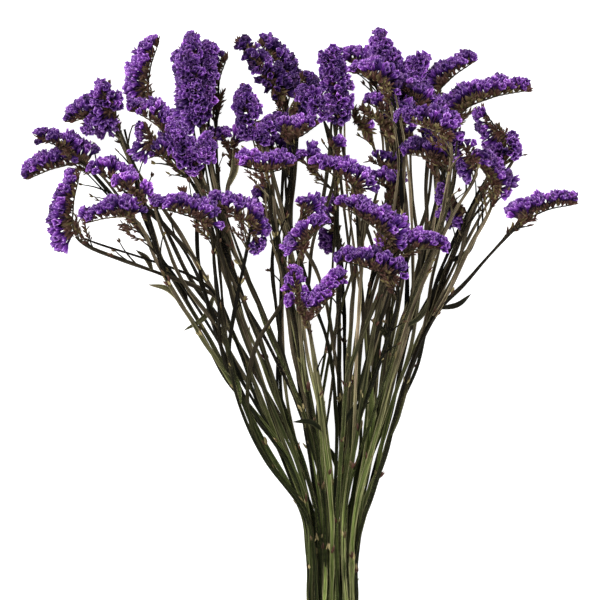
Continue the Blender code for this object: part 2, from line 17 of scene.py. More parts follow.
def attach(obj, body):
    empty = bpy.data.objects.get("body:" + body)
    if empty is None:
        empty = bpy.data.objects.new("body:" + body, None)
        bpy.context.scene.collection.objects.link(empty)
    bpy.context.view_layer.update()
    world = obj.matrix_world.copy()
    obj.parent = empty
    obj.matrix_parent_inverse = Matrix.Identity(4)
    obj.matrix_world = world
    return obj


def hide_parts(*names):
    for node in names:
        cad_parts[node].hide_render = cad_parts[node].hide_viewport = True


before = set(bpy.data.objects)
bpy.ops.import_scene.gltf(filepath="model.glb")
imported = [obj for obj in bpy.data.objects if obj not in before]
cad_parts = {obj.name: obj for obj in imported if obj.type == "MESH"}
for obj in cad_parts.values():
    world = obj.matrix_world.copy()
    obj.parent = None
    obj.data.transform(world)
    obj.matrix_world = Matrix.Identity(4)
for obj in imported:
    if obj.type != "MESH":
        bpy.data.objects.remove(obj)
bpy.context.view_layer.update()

bl_info = {
    "name": "Dried statice bunch",
    "version": (1, 0, 0),
    "blender": (4, 5, 0),
    "location": "3D View > Sidebar > Statice",
    "description": "Papery flower heads, bracts, winged stems, leaves and the tie of a dried statice bunch",
    "category": "Object",
}

MM = 0.001
FULL_TURN = 2 * math.pi
ANY_TURN = (0, 6.28)
PATTERN_SHIFT = (0, 90)

# The middle of the bunch, as the table of sprays below counts it
CENTRE_X = -27.8
CENTRE_Y = 268.1

# The three layers: height of the stems in the tie, and of the flower heads
LAYERS = {"low": (5.0, 12.6), "middle": (10.4, 60.0), "top": (15.8, 106.0)}
TIE_Y = 38.0
SLOT_PITCH = 6.1
CUT_END = 1.0
SLOT_START, SLOT_END = 30.0, 50.0
FORK_RUN = 12.0
SPIKE_ARCH = 0.08
RACHIS_DROP = 1.0

# Spikelets on a spike: their distance, from its foot and tip too, the turn of every second one, and how they
# lean and shrink towards the tip of a spike or the two tips of a forked one
SPIKELET_PITCH = 4.7
SPIKE_FOOT, SPIKE_TIP = 3.5, 4.0
SPIKELET_TURN = 27.0
SPIKELET_SWAY = 9.0
SPIKELET_RISE = 0.6
SPIKELET_SIZES = (0.8, 1.12)
FOOT_LEAN, LEAN_GAIN, FORK_LEAN = -0.12, 0.62, 0.55
FOOT_SIZE, TIP_LOSS, FORK_LOSS = 1.1, 0.46, 0.34

# The fan of calyces that each spikelet holds up
CALYXES = 8
CALYX_SPREAD = 34.0
CALYX_LENGTHS = (0.84, 1.1)
OUTER_LOSS = 0.14
GOLDEN = 1.618
UPWARD_LIFT = 50
SIDE_VIEW_RISE = 47.0
RISE_PLAY = (-0.12, 0.08)
LOWEST_MOUTH = 2.6
LOWEST_POINT = 0.3

# Rings of the two small shapes that are repeated: radius, height and edge value, and a calyx's ruffle
CALYX_SHAPES = 8
CALYX_SEGMENTS = 10
# A calyx's edge value is low in its sunk throat and high on its rim, so it also places the painted shade in
# the throat and the part-painted highlight on the rim
CALYX_RINGS = (
    (0.13, 0.0, 0.0, 0.0), (0.3, 0.56, 0.34, 0.1), (1.0, 1.0, 1.0, 0.42), (0.6, 0.86, 0.6, 0.5),
    (0.15, 0.6, 0.2, 0.0),
)
BRACT_SIDES = 4
BRACT_RINGS = ((0.35, 0.0, 0.0), (1.0, 0.38, 0.35), (0.72, 0.72, 0.7), (0.06, 1.0, 1.0))
STAMPS_AT_ONCE = 25

# Bracts: how many a spikelet and a spike's tip have, their tints, and their width to their length
BRACTS = 16
TIP_BRACTS = 9
BRACT_TINTS = (0.02, 0.05, 0.1, 0.16, 0.24, 0.3, 0.42, 0.5, 0.58, 0.72)
FORK_TINTS = (0.2, 0.35, 0.6, 0.85, 0.95)
BRACT_WIDTH, FORK_BRACT_WIDTH, TWIG_BRACT_WIDTH, TIP_BRACT_WIDTH = 0.19, 0.2, 0.17, 0.15
LOWEST_FORK = 60

# Branchlets fan to the underside of a head, and twigs stand beside its shoot
BRANCHLETS = 5
BRANCHLET_FROM = (3.0, 24.0)
BRANCHLET_REACH = 22.0
TWIGS = (1, 1, 2, 3)
TWIG_FROM = (8.0, 80.0)
TWIG_REACH = (12.0, 30.0)
LOWEST_BRANCHLET, LOWEST_TWIG, LOWEST_STRAND = 3.0, 4.0, 3.0

# Stems: a ring every few millimetres, the turn from a wing's edge to its foot, and how they thin out
STEM_STEP = 6.0
WING_FOOT = 0.62
WING_WAVE = 0.16
STEM_SPIN = 0.012
THINNED, SIDE_SHOOT = 0.6, 0.6
RACHIS_CROOK = 0.35
LEAF_STEPS = 12
LEAF_RING = ((1, 0.3, 1), (0, 0.12, 0), (-1, 0.3, 1), (-1, 0.15, 1), (0, -0.2, 0), (1, 0.15, 1))

# Strands: where they may set out, how far apart their shoots' heads may be, and how they stray
STRAND_STARTS = (90.0, 210.0)
STRAND_SHARES = (0.0, 0.08, 0.18, 0.32, 0.46, 0.6, 0.74, 0.88, 1.0)
STRAND_GAP, STRAND_STEP = 85, 130
CROWD_X, CROWD_REACH, CROWD_Y = 15, 65, 380

# The tie: its bore, its turns, and the twisted plies of its twine, with sizes to the twine's thickness
TIE_BORE = 3.2
TIE_TURN = 15.0
TWINE_TURNS = 3
TWINE_STEP = 0.9
TWINE_PLIES = 3
TWINE_LAY = 6.5
PLY_OFFSET, PLY_RADIUS, PLY_SIDES = 0.24, 0.27, 6
KNOT_STEPS = 16
TWINE_ENDS = ((-1, 20.0), (1, 15.0))

# Colours in the grain of the finishes; the near-black lines on the stems are in part painted shade
DARK_BRACT, STRAW, PALE_TIP = (0.022, 0.012, 0.01), (0.5, 0.42, 0.2), (0.28, 0.16, 0.13)
BRACT_STREAK, STEM_LINE_AND_SHADE, LOOSE_FIBRE = (0.01, 0.006, 0.004), (0.004, 0.004, 0.001), (0.6, 0.5, 0.34)

# The stage, in metres: what the camera looks at, and each light's place, size and share of the key's power
VIEW_MIDDLE = (0.0014, 0.0369, 0.0)
VIEW_HEIGHT = 0.06
FLOOR_REACH = 5.0
SKY_SEEN = 1.1
LIGHTS = (
    ("key_light", (-0.5, 0.7, 2.2), 0.9, 1.0),
    ("fill_light", (0.9, -0.5, 1.8), 1.6, 0.25),
    ("left_light", (-2.0, -0.3, 0.9), 1.2, 0.25),
    ("right_light", (1.9, 0.7, 0.8), 1.2, 0.25),
    ("near_light", (0.3, -2.0, 0.8), 1.2, 0.25),
)


@dataclass
class Head:
    """A flower head and the shoot that carries it. Lengths are in millimetres, angles in degrees."""

    name: str
    foot: tuple  # where the shoot meets the head
    tips: tuple  # one end, or the two ends of a forked or arched head
    facing: float  # where the flowers look, anticlockwise from +X
    lift: float  # how far they look up from the surface
    fork: tuple | None = None  # the shoot that it leaves, and how far along Y
    way: tuple = ()  # points that the shoot passes, with a height over its even climb if there is one
    slot: float | None = None  # place in the tie, for a shoot that reaches it
    rise: float = 0.0  # height over the layer's own


@dataclass
class Leaf:
    """A lance-shaped leaf: its shoot, how far along Y, its tip relative to its root, and half its width."""

    on: str
    y: float
    tip: tuple
    bend: float = 0.12
    half: float = 2.4


@dataclass
class Habit:
    """How a head dried, and for a head deep in the bunch how much painted shade it has."""

    shade: float | None = None  # lighter or darker than the others: its own tone, and on heads deep in the bunch in part painted shade
    chaff: float = 1.0  # how large and many its bracts are
    bloom: float = 1.0  # the share of its calyces that opened
    bare: float = 0.0  # the share of a spike, about its middle, that lost its calyces
    green: float = 0.0  # greener bracts, or redder ones


@dataclass
class Spray:
    """The shoots of one root, in one layer, the leader first."""

    layer: str
    heads: list
    leaves: list = field(default_factory=list)


SPRAYS = {
    "low_1": Spray("low", [
        Head("a", (-208, 421), ((-258, 410),), 105, 20, slot=-3, rise=-1.8,
             way=((-24, 122), (-54, 178), (-104, 270), (-160, 362))),
        Head("b", (-220, 430), ((-249, 443),), 120, 45, rise=17, fork=("a", 350)),
        Head("c", (-185, 453), ((-190, 489),), 165, 35, fork=("a", 325), way=((-165, 405),)),
    ], [Leaf("a", 300, (-22, 30, 4))]),
    "low_2": Spray("low", [
        Head("a", (-97, 472), ((-90, 512),), 165, 25, slot=-2, rise=-1.8,
             way=((-15, 122), (-40, 178), (-78, 300), (-98, 420))),
        Head("b", (-79, 431), ((-100, 446),), 130, 35, fork=("a", 330), way=((-88, 400),)),
        Head("c", (-50, 371), ((-55, 398),), 165, 45, fork=("d", 250)),
        Head("d", (-43, 477), ((-77, 524),), 70, 62, slot=-1, fork=("a", CUT_END), rise=4,
             way=((-8, 122), (-22, 200), (-34, 330), (-34, 430))),
        Head("e", (-35, 465), ((-24, 497),), 10, 20, rise=10, fork=("d", 400)),
    ], [Leaf("d", 190, (16, 26, 5)), Leaf("b", 402, (4, 32, 8), 0.1, 3.4)]),
    "low_3": Spray("low", [
        Head("a", (65, 477), ((39, 532), (76, 511)), 100, 75, slot=0.5, rise=13,
             way=((4, 122), (14, 200), (38, 340), (56, 430))),
        Head("b", (37, 494), ((12, 512),), 110, 25, fork=("a", 385), rise=-1),
        Head("c", (8, 351), ((4, 390),), 150, 40, fork=("a", 170)),
        Head("d", (57, 395), ((36, 407),), 110, 35, fork=("a", 300), rise=26),
    ], [Leaf("a", 150, (-20, 34, 4))]),
    "low_4": Spray("low", [
        Head("a", (108, 463), ((167, 485),), 105, 20, slot=2, rise=-2.6,
             way=((16, 122), (38, 190), (68, 300), (94, 400))),
        Head("b", (153, 440), ((130, 467),), 170, 30, fork=("d", 385)),
        Head("c", (86, 474), ((121, 509),), 135, 20, fork=("a", 375), rise=-2.4),
        Head("d", (148, 426), ((157, 441),), 60, 58, slot=3, fork=("a", CUT_END),
             way=((24, 118), (43, 166), (75, 264), (110, 360))),
        Head("e", (115, 378), ((97, 402),), 165, 35, fork=("d", 285), rise=13),
    ], [Leaf("d", 330, (24, 20, 6))]),
    "middle_1": Spray("middle", [
        Head("a", (-188, 461), ((-221, 457),), 100, 25, slot=-2.5,
             way=((-20, 120), (-48, 190), (-86, 283), (-128, 360), (-167, 417))),
        Head("b", (-174, 400), ((-203, 416),), 110, 40, fork=("a", 325)),
        Head("c", (-217, 359), ((-215, 410),), 180, 15, fork=("a", 292), way=((-112, 315), (-156, 331))),
        Head("d", (-155, 477), ((-147, 525),), 183, 15, slot=-1.5, fork=("a", CUT_END),
             way=((-12, 122), (-36, 200), (-76, 310), (-118, 414), (-139, 451))),
        Head("e", (-140, 447), ((-169, 467),), 105, 25, rise=8, fork=("d", 370)),
    ], [Leaf("a", 306, (-26, -31, 3), -0.15), Leaf("c", 329, (-14, 18, 5))]),
    "middle_2": Spray("middle", [
        Head("a", (-113, 420), ((-137, 451), (-102, 442)), 100, 75, slot=-0.5, rise=18,
             way=((-4, 125), (-14, 180), (-56, 290), (-96, 375))),
        Head("b", (-114, 466), ((-126, 518), (-105, 522)), 100, 78, rise=-12, fork=("a", 345)),
        Head("c", (-110, 457), ((-116, 529),), 175, 60, rise=12, fork=("a", 330)),
    ]),
    "middle_3": Spray("middle", [
        Head("a", (-62, 443), ((-76, 484), (-48, 455)), 100, 68, slot=0.5,
             way=((3, 122), (-5, 200), (-30, 330), (-54, 410))),
        Head("b", (-30, 444), ((-47, 451), (-13, 454)), 90, 25, fork=("a", 350)),
        Head("c", (4, 463), ((-1, 516), (-26, 480)), 80, 75, slot=1.5, fork=("a", CUT_END),
             way=((9, 122), (8, 220), (5, 380))),
    ], [Leaf("c", 398, (-12, 58, 6), 0.06, 3.6)]),
    "middle_4": Spray("middle", [
        Head("a", (98, 419), ((65, 430),), 105, 30, slot=2.5,
             way=((17, 118), (38, 191), (58, 280), (90, 361))),
        Head("b", (50, 482), ((20, 499),), 100, 35, rise=8, fork=("a", 285), way=((60, 400),)),
        Head("c", (60, 452), ((31, 474),), 55, 40, fork=("b", 370), rise=-12),
        Head("d", (86, 459), ((57, 487),), 45, 35, rise=-4, fork=("a", 345), way=((105, 418),)),
    ], [Leaf("a", 255, (-20, 32, 8))]),
    "middle_5": Spray("middle", [
        Head("a", (161, 370), ((206, 387),), 100, 15, slot=3.5,
             way=((23, 100), (44, 166), (74, 264), (93, 298), (111, 317))),
        Head("b", (139, 396), ((122, 425),), 35, 30, fork=("a", 290), way=((118, 350),)),
    ], [Leaf("a", 296, (26, 12, 6))]),
    "top_1": Spray("top", [
        Head("a", (-167, 374), ((-207, 371),), 105, 25, slot=-3,
             way=((-20, 122), (-36, 170, -6), (-77, 225, -6), (-127, 302), (-146, 335))),
        Head("b", (-158, 386), ((-178, 406),), 110, 45, fork=("a", 315), rise=6),
        Head("c", (-105, 368), ((-150, 384),), 100, 35, slot=-2, fork=("a", CUT_END),
             way=((-21, 126), (-48, 160), (-80, 232), (-96, 310))),
        Head("d", (-67, 368), ((-101, 387), (-66, 348)), 50, 45, fork=("c", 240), rise=-6),
    ], [Leaf("a", 250, (18, -34, 4), -0.15), Leaf("a", 302, (-28, 16, 3), 0.15)]),
    "top_2": Spray("top", [
        Head("a", (-54, 414), ((-77, 420), (-33, 419)), 90, 35, slot=-1,
             way=((-6, 122), (-16, 200), (-36, 310), (-50, 375))),
        Head("b", (-26, 346), ((-5, 371),), 130, 45, fork=("a", 225)),
        Head("c", (-20, 289), ((-33, 330), (10, 324)), 100, 46, slot=0, fork=("a", CUT_END),
             way=((0, 125), (-7, 200))),
        Head("d", (25, 396), ((-14, 419),), 100, 35, slot=1, fork=("c", 12),
             way=((6, 122), (11, 200), (20, 320))),
        Head("e", (49, 353), ((8, 385),), 60, 35, fork=("d", 225), rise=14),
        Head("f", (55, 320), ((8, 339),), 80, 45, fork=("g", 190), rise=16),
        Head("g", (54, 343), ((93, 349),), 95, 30, slot=2, fork=("d", 20), rise=3,
             way=((12, 122), (24, 200), (38, 290))),
    ], [Leaf("c", 190, (-26, 8, 3), 0.15), Leaf("d", 196, (22, 18, 5), -0.15),
        Leaf("a", 300, (-14, 56, 5), 0.05, 2.4)]),
    "top_3": Spray("top", [
        Head("a", (123, 416), ((107, 446),), 135, 40, slot=3, rise=-8,
             way=((20, 120), (38, 190), (66, 290), (100, 372))),
        Head("b", (99, 441), ((57, 459),), 105, 40, fork=("a", 320), rise=10),
    ], [Leaf("a", 280, (20, 24, 6)), Leaf("a", 128, (12, 112, 4), 0.05, 4.8)]),
}

# Small side heads inside the bunch, too slight to have a solid of their own
SIDE_HEADS = {
    "low_2": (
        Head("f", (-38, 424), ((-57, 432),), 100, 30, fork=("d", 385)),
        Head("g", (-33, 446), ((-47, 456),), 80, 35, fork=("d", 400)),
        Head("h", (-38, 478), ((-60, 525),), 20, 15, fork=("d", 425), rise=2),
    ),
    "low_3": (
        Head("e", (55, 412), ((34, 424),), 100, 40, fork=("a", 350), rise=8),
        Head("f", (60, 431), ((46, 447),), 100, 40, fork=("a", 380), rise=2),
        Head("g", (30, 448), ((8, 472),), 70, 50, fork=("a", 385), rise=14),
        Head("h", (52, 446), ((28, 466),), 80, 50, fork=("a", 395), rise=22),
    ),
    "middle_1": (
        Head("f", (-150, 436), ((-156, 452),), 160, 30, fork=("d", 380)),
        Head("g", (-135, 425), ((-150, 428),), 110, 30, fork=("d", 370)),
        Head("h", (-185, 463), ((-195, 484),), 120, 72, fork=("a", 395), rise=6),
        Head("i", (-190, 459), ((-207, 455),), 235, 65, fork=("a", 395), rise=-4),
    ),
    "middle_3": (
        Head("d", (-14, 415), ((-28, 425),), 100, 30, fork=("c", 375), rise=-12),
        Head("e", (4, 424), ((1, 438),), 60, 40, fork=("c", 392), rise=8),
    ),
    "middle_4": (
        Head("e", (84, 432), ((64, 444),), 90, 40, fork=("a", 385), rise=-12),
    ),
    "top_1": (
        Head("e", (-120, 386), ((-126, 398),), 120, 30, fork=("c", 340), rise=-8),
    ),
    "top_2": (
        Head("h", (-20, 372), ((-26, 386),), 60, 30, fork=("a", 330), rise=-8),
    ),
}

# Heads that many strands crowd under
CROWDED = ("middle_3c", "middle_4b", "low_3b")

# How the heads that differ from the others dried. A dark shade on a head deep in the bunch, such as low_3e
# and low_3f, is in part painted shade
HABITS = {
    "low_2a": Habit(bloom=0.45),
    "low_2c": Habit(shade=-0.2),
    "low_2d": Habit(shade=-0.35, chaff=1.3, bloom=0.4, green=0.04),
    "low_2e": Habit(shade=-0.4),
    "low_2f": Habit(shade=-0.3),
    "low_2g": Habit(shade=-0.3),
    "low_2h": Habit(shade=-0.3),
    "low_3a": Habit(chaff=1.15),
    "low_3e": Habit(shade=-0.35, bloom=0.5),
    "low_3f": Habit(shade=-0.4, bloom=0.5),
    "low_3g": Habit(chaff=1.3, bloom=0.12, green=0.08),
    "low_3h": Habit(chaff=1.3, bloom=0.08, green=0.3),
    "low_4a": Habit(chaff=1.2, green=0.12),
    "low_4d": Habit(green=0.1),
    "middle_1g": Habit(shade=-0.25),
    "middle_3a": Habit(bare=0.12),
    "middle_3b": Habit(chaff=1.2, bare=0.2),
    "middle_4a": Habit(shade=-0.25),
    "middle_4b": Habit(green=0.2),
    "middle_4e": Habit(shade=-0.3, bloom=0.4),
    "middle_5b": Habit(chaff=1.25, green=0.16),
    "top_1b": Habit(shade=0.25),
    "top_1e": Habit(bloom=0.3, green=-0.1),
    "top_2a": Habit(bare=0.15),
    "top_2c": Habit(shade=0.15, bare=0.3, green=0.05),
    "top_3b": Habit(green=0.14),
}


def smooth(points, steps=12):
    """Points along a smooth curve through the given ones (a centripetal Catmull-Rom curve)."""
    padded = [points[0] * 2 - points[1]] + points + [points[-1] * 2 - points[-2]]
    curve = []
    for p0, p1, p2, p3 in zip(padded, padded[1:], padded[2:], padded[3:]):
        t1 = (p1 - p0).length ** 0.5
        t2 = t1 + (p2 - p1).length ** 0.5
        t3 = t2 + (p3 - p2).length ** 0.5
        for step in range(steps):
            t = t1 + (t2 - t1) * step / steps
            a1 = p0.lerp(p1, t / t1)
            a2 = p1.lerp(p2, (t - t1) / (t2 - t1))
            a3 = p2.lerp(p3, (t - t2) / (t3 - t2))
            b1 = a1.lerp(a2, t / t2)
            b2 = a2.lerp(a3, (t - t1) / (t3 - t1))
            curve.append(b1.lerp(b2, (t - t1) / (t2 - t1)))
    return curve + [points[-1].copy()]


class Route:
    """A line read by the distance along it: a smooth curve through its points, or straight between them."""

    def __init__(self, points, curved=True):
        self.points = smooth(points) if curved else points
        self.marks = [0.0]
        for start, end in zip(self.points, self.points[1:]):
            self.marks.append(self.marks[-1] + (end - start).length)
        self.length = self.marks[-1]

    def at(self, distance):
        """The point at a distance along the curve."""
        distance = min(max(distance, 0.0), self.length)
        index = min(max(bisect.bisect_left(self.marks, distance), 1), len(self.marks) - 1)
        length = self.marks[index] - self.marks[index - 1]
        share = (distance - self.marks[index - 1]) / length if length else 0.0
        return self.points[index - 1].lerp(self.points[index], share)

    def along(self, distance, reach=2.0):
        """The direction of the curve at a distance along it."""
        return (self.at(distance + reach) - self.at(distance - reach)).normalized()

    def where_y(self, y):
        """The distance at which the curve first reaches a place along the bunch."""
        for mark, point in zip(self.marks, self.points):
            if point.y >= y:
                return mark
        return self.length

    def nearest(self, place):
        """The distance at which the curve comes nearest to a point."""
        return min(zip(self.marks, self.points), key=lambda pair: (pair[1] - place).length)[0]


def spaced(start, end, step):
    """Distances from start to end in equal steps of about the given length."""
    count = max(1, round((end - start) / step))
    return [start + (end - start) * index / count for index in range(count + 1)]


def look(head):
    """The direction that a head's flowers face."""
    turn, lift = math.radians(head.facing), math.radians(head.lift)
    return Vector((math.cos(turn) * math.cos(lift), math.sin(turn) * math.cos(lift), math.sin(lift)))


def square_to(along, facing):
    """The direction nearest to facing that is square to along."""
    return (facing - along * facing.dot(along)).normalized()


def swung(first, second, turn):
    """The direction at an angle from one direction towards another that is square to it."""
    return first * math.cos(turn) + second * math.sin(turn)


def drawn(chance, *ranges):
    """A vector with each part drawn from its own range."""
    return Vector([chance.uniform(*limits) for limits in ranges])


def habit_of(name, head):
    """How a head dried, with any painted shade on it."""
    return HABITS.get(name + head.name, Habit())


def foot_of(spray, head):
    """The point where a head's shoot ends and its spike begins."""
    return Vector((*head.foot, LAYERS[spray.layer][1] + head.rise))


def spike_points(spray, head):
    """The points that a head's spike runs through."""
    foot = foot_of(spray, head)
    tips = [Vector((*tip, foot.z)) for tip in head.tips]
    if len(tips) == 2:
        return [tips[0], foot, tips[1]]
    arch = look(head) * SPIKE_ARCH * (tips[0] - foot).length
    return [foot, foot.lerp(tips[0], 0.5) + arch, tips[0]]


def shoot_start(spray, head, routes):
    """The first points of a shoot: its cut end and its slot in the tie, or its fork."""
    if head.slot is None:
        parent = routes[head.fork[0]][0]
        mark = parent.where_y(head.fork[1])
        return [parent.at(mark), parent.at(mark) + parent.along(mark) * FORK_RUN]
    x = head.slot * SLOT_PITCH
    z = LAYERS[spray.layer][0]
    root = Vector((x, CUT_END, z))
    if head.fork:
        parent = routes[head.fork[0]][0]
        root = parent.at(parent.where_y(head.fork[1]))
    return [root, Vector((x, SLOT_START, z)), Vector((x, SLOT_END, z))]


def shoot_route(spray, head, routes):
    """A shoot's curve and the distance to its head's foot. A single spike carries the curve on to its tip."""
    start = shoot_start(spray, head, routes)
    foot = foot_of(spray, head)
    climb = (foot.z - start[-1].z) / (foot.y - start[-1].y)
    way = []
    for x, y, *lift in head.way:
        way.append(Vector((x, y, start[-1].z + climb * (y - start[-1].y) + sum(lift))))
    if len(head.tips) == 2:
        route = Route(start + way + [foot - look(head) * RACHIS_DROP])
        return route, route.length
    route = Route(start + way + spike_points(spray, head))
    return route, route.nearest(foot)


def spray_routes(spray):
    """Each head's route and the distance to its foot, with a shoot's parent worked out before it."""
    routes = {}
    waiting = list(spray.heads)
    while waiting:
        head = waiting.pop(0)
        if head.fork and head.fork[0] not in routes:
            waiting.append(head)
        else:
            routes[head.name] = shoot_route(spray, head, routes)
    return routes


SOLID_HEADS = [(name, head) for name, spray in SPRAYS.items() for head in spray.heads]
for spray_name, side_heads in SIDE_HEADS.items():
    SPRAYS[spray_name].heads.extend(side_heads)
ROUTES = {name: spray_routes(spray) for name, spray in SPRAYS.items()}


def spike_of(name, head):
    """A head's spike: its curve, where it starts on the curve and where it ends."""
    route, foot = ROUTES[name][head.name]
    if len(head.tips) == 2:
        route = Route(spike_points(SPRAYS[name], head))
        return route, 0.0, route.length
    return route, foot, route.length


def on_way(name, head, y):
    """The point at a place along the bunch on the way from the cut ends to a head."""
    heads = {other.name: other for other in SPRAYS[name].heads}
    while head.fork and y < ROUTES[name][head.name][0].points[0].y:
        head = heads[head.fork[0]]
    route = ROUTES[name][head.name][0]
    return route.at(route.where_y(y))


def fresh_mesh():
    """An empty bmesh with the values that the materials read: closeness to an edge, tint, own coordinates."""
    mesh = bmesh.new()
    mesh.verts.layers.float.new("edge")
    mesh.verts.layers.float.new("tint")
    mesh.verts.layers.float_vector.new("fibre")
    return mesh


def sweep(mesh, rings, tint):
    """A closed tube through rings of like corners, each with its point, edge value and own coordinates."""
    edge, tints = mesh.verts.layers.float["edge"], mesh.verts.layers.float["tint"]
    fibre = mesh.verts.layers.float_vector["fibre"]
    root = [mesh.verts.new(corner[0]) for corner in rings[0]]
    cap = mesh.faces.new(root)
    for vert, corner in zip(root, rings[0]):
        vert[edge], vert[fibre], vert[tints] = corner[1], corner[2], tint
    for ring in rings[1:]:
        cap = bmesh.ops.extrude_discrete_faces(mesh, faces=[cap])["faces"][0]
        for vert, corner in zip(cap.verts, ring):
            vert.co, vert[edge], vert[fibre], vert[tints] = corner[0], corner[1], corner[2], tint
    mesh.faces.new(root[::-1])


def mesh_data(mesh, name):
    """A bmesh as mesh data. The bmesh is freed."""
    data = bpy.data.meshes.new(name)
    mesh.to_mesh(data)
    mesh.free()
    return data


def placed(name, data):
    """A new object in the scene."""
    made = bpy.data.objects.new(name, data)
    bpy.context.scene.collection.objects.link(made)
    return made


def gather(whole, part):
    """Adds the shape of one bmesh to another, and frees it."""
    data = mesh_data(part, "part")
    whole.from_mesh(data)
    bpy.data.meshes.remove(data)


def add_tube(whole, rings, tint):
    """Adds a closed tube to a bmesh."""
    part = fresh_mesh()
    sweep(part, rings, tint)
    gather(whole, part)


def stamp(whole, shape, matrix, tint, shift):
    """Adds a copy of a shape to a bmesh, with a tint of its own and its pattern moved on."""
    first = len(whole.verts)
    whole.from_mesh(shape)
    whole.verts.ensure_lookup_table()
    copied = whole.verts[first:]
    bmesh.ops.transform(whole, matrix=matrix, verts=copied)
    tints, fibre = whole.verts.layers.float["tint"], whole.verts.layers.float_vector["fibre"]
    for vert in copied:
        vert[tints] = tint
        vert[fibre] = vert[fibre] + shift
        vert.co.z = max(vert.co.z, LOWEST_POINT)


def stamp_all(whole, copies):
    """Adds many copies to a bmesh, a few at a time, which is far quicker than one by one."""
    for first in range(0, len(copies), STAMPS_AT_ONCE):
        part = fresh_mesh()
        for copy in copies[first:first + STAMPS_AT_ONCE]:
            stamp(part, *copy)
        gather(whole, part)


def standing(root, way, length, width, spin=0.0, squash=1.0):
    """The matrix that stands an upright shape of unit length and radius on its root."""
    turn = Vector((0, 0, 1)).rotation_difference(way).to_matrix().to_4x4()
    size = Matrix.Diagonal((width * squash, width / squash, length, 1.0))
    return Matrix.Translation(root) @ turn @ Matrix.Rotation(spin, 4, "Z") @ size


def piece(mesh, name, finish, nodes=()):
    """A finished piece, set in the frame, with its material and the CAD nodes it stands for."""
    place = Matrix.Translation(Vector((-CENTRE_X, -CENTRE_Y, 0)) * MM) @ Matrix.Scale(MM, 4)
    bmesh.ops.transform(mesh, matrix=place, verts=mesh.verts)
    data = mesh_data(mesh, name)
    data.materials.append(finish)
    made = placed(name, data)
    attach(made, "root")
    if nodes:
        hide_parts(*nodes)
    return made


def shape_of(name, rings):
    """A small shape that is repeated, as mesh data."""
    mesh = fresh_mesh()
    sweep(mesh, rings, 0.0)
    return mesh_data(mesh, name)


def calyx_ring(radius, height, edge, ruffle, chance):
    """One ring of a calyx, pleated by turns in and out, with its edge value."""
    ring = []
    for index in range(CALYX_SEGMENTS):
        turn = FULL_TURN * index / CALYX_SEGMENTS
        pleat = (-1) ** index * 0.5 + chance.uniform(-0.6, 0.6)
        out = radius * (1 + ruffle * pleat)
        up = height + ruffle * 0.4 * (chance.uniform(-0.5, 0.5) - pleat * 0.4)
        point = Vector((out * math.cos(turn), out * math.sin(turn), up))
        ring.append((point, edge, Vector((point.x, point.y, point.z * 2))))
    return ring


def calyx_shapes():
    """Papery funnels with a pleated, ruffled rim and a sunk throat."""
    shapes = []
    for index in range(CALYX_SHAPES):
        chance = random.Random(f"calyx {index}")
        shapes.append(shape_of("calyx", [calyx_ring(*ring, chance) for ring in CALYX_RINGS]))
    return shapes


def bract_shape():
    """A pointed, boat-shaped bract."""
    rings = []
    for radius, height, edge in BRACT_RINGS:
        ring = []
        for index in range(BRACT_SIDES):
            turn = FULL_TURN * index / BRACT_SIDES
            point = Vector((radius * math.cos(turn), radius * math.sin(turn) * 0.62, height))
            ring.append((point, edge, Vector((point.x * 2, point.y * 2, point.z))))
        rings.append(ring)
    return shape_of("bract", rings)


def spikelets_of(name, head):
    """The spikelets of a head, left and right in turn: root, axis, the spike's direction and size of each."""
    chance = random.Random(f"spikelets {name}{head.name}")
    route, start, end = spike_of(name, head)
    facing = look(head)
    forked = len(head.tips) == 2
    lead = SPIKE_TIP if forked else SPIKE_FOOT
    marks = spaced(start + lead, end - SPIKE_TIP, SPIKELET_PITCH)
    found = []
    for index, mark in enumerate(marks):
        share = index / (len(marks) - 1)
        along = route.along(mark)
        normal = square_to(along, facing)
        turn = math.radians(SPIKELET_TURN * (-1) ** index + chance.uniform(-SPIKELET_SWAY, SPIKELET_SWAY))
        outward = swung(normal, normal.cross(along), turn)
        if forked:
            lean = FORK_LEAN * (2 * share - 1)
            size = 1 - FORK_LOSS * abs(2 * share - 1) ** 2
        else:
            lean = FOOT_LEAN + LEAN_GAIN * share
            size = FOOT_SIZE - TIP_LOSS * share ** 1.6
        size *= chance.uniform(*SPIKELET_SIZES)
        axis = (outward + along * lean).normalized()
        found.append((route.at(mark) + normal * SPIKELET_RISE, axis, along, size))
    return found


def calyces_of(name, head, flowers):
    """Where the calyces of a head stand: root, direction and length of each.

    On a head that is seen from its side they stay low, so that its bracts show.
    """
    chance = random.Random(f"calyces {name}{head.name}")
    highest = 1.0 if head.lift > UPWARD_LIFT else math.sin(math.radians(SIDE_VIEW_RISE))
    habit = habit_of(name, head)
    spikelets = spikelets_of(name, head)
    found = []
    for place, (root, axis, along, size) in enumerate(spikelets):
        if abs(2 * place / (len(spikelets) - 1) - 1) < habit.bare:
            continue
        first = square_to(axis, along)
        turn = chance.uniform(*ANY_TURN)
        for index in range(CALYXES):
            turn += FULL_TURN / GOLDEN
            spread = math.radians(CALYX_SPREAD) * math.sqrt((index + 0.4) / CALYXES)
            way = swung(axis, swung(first, axis.cross(first), turn), spread).normalized()
            outer = 1.0 - OUTER_LOSS * index / CALYXES
            length = flowers.reach / MM * size * chance.uniform(*CALYX_LENGTHS) * outer
            opened = chance.random() < habit.bloom
            clear = (root + way * length).z > LOWEST_MOUTH
            if opened and clear and way.z < highest + chance.uniform(*RISE_PLAY):
                found.append((root, way, length))
    return found


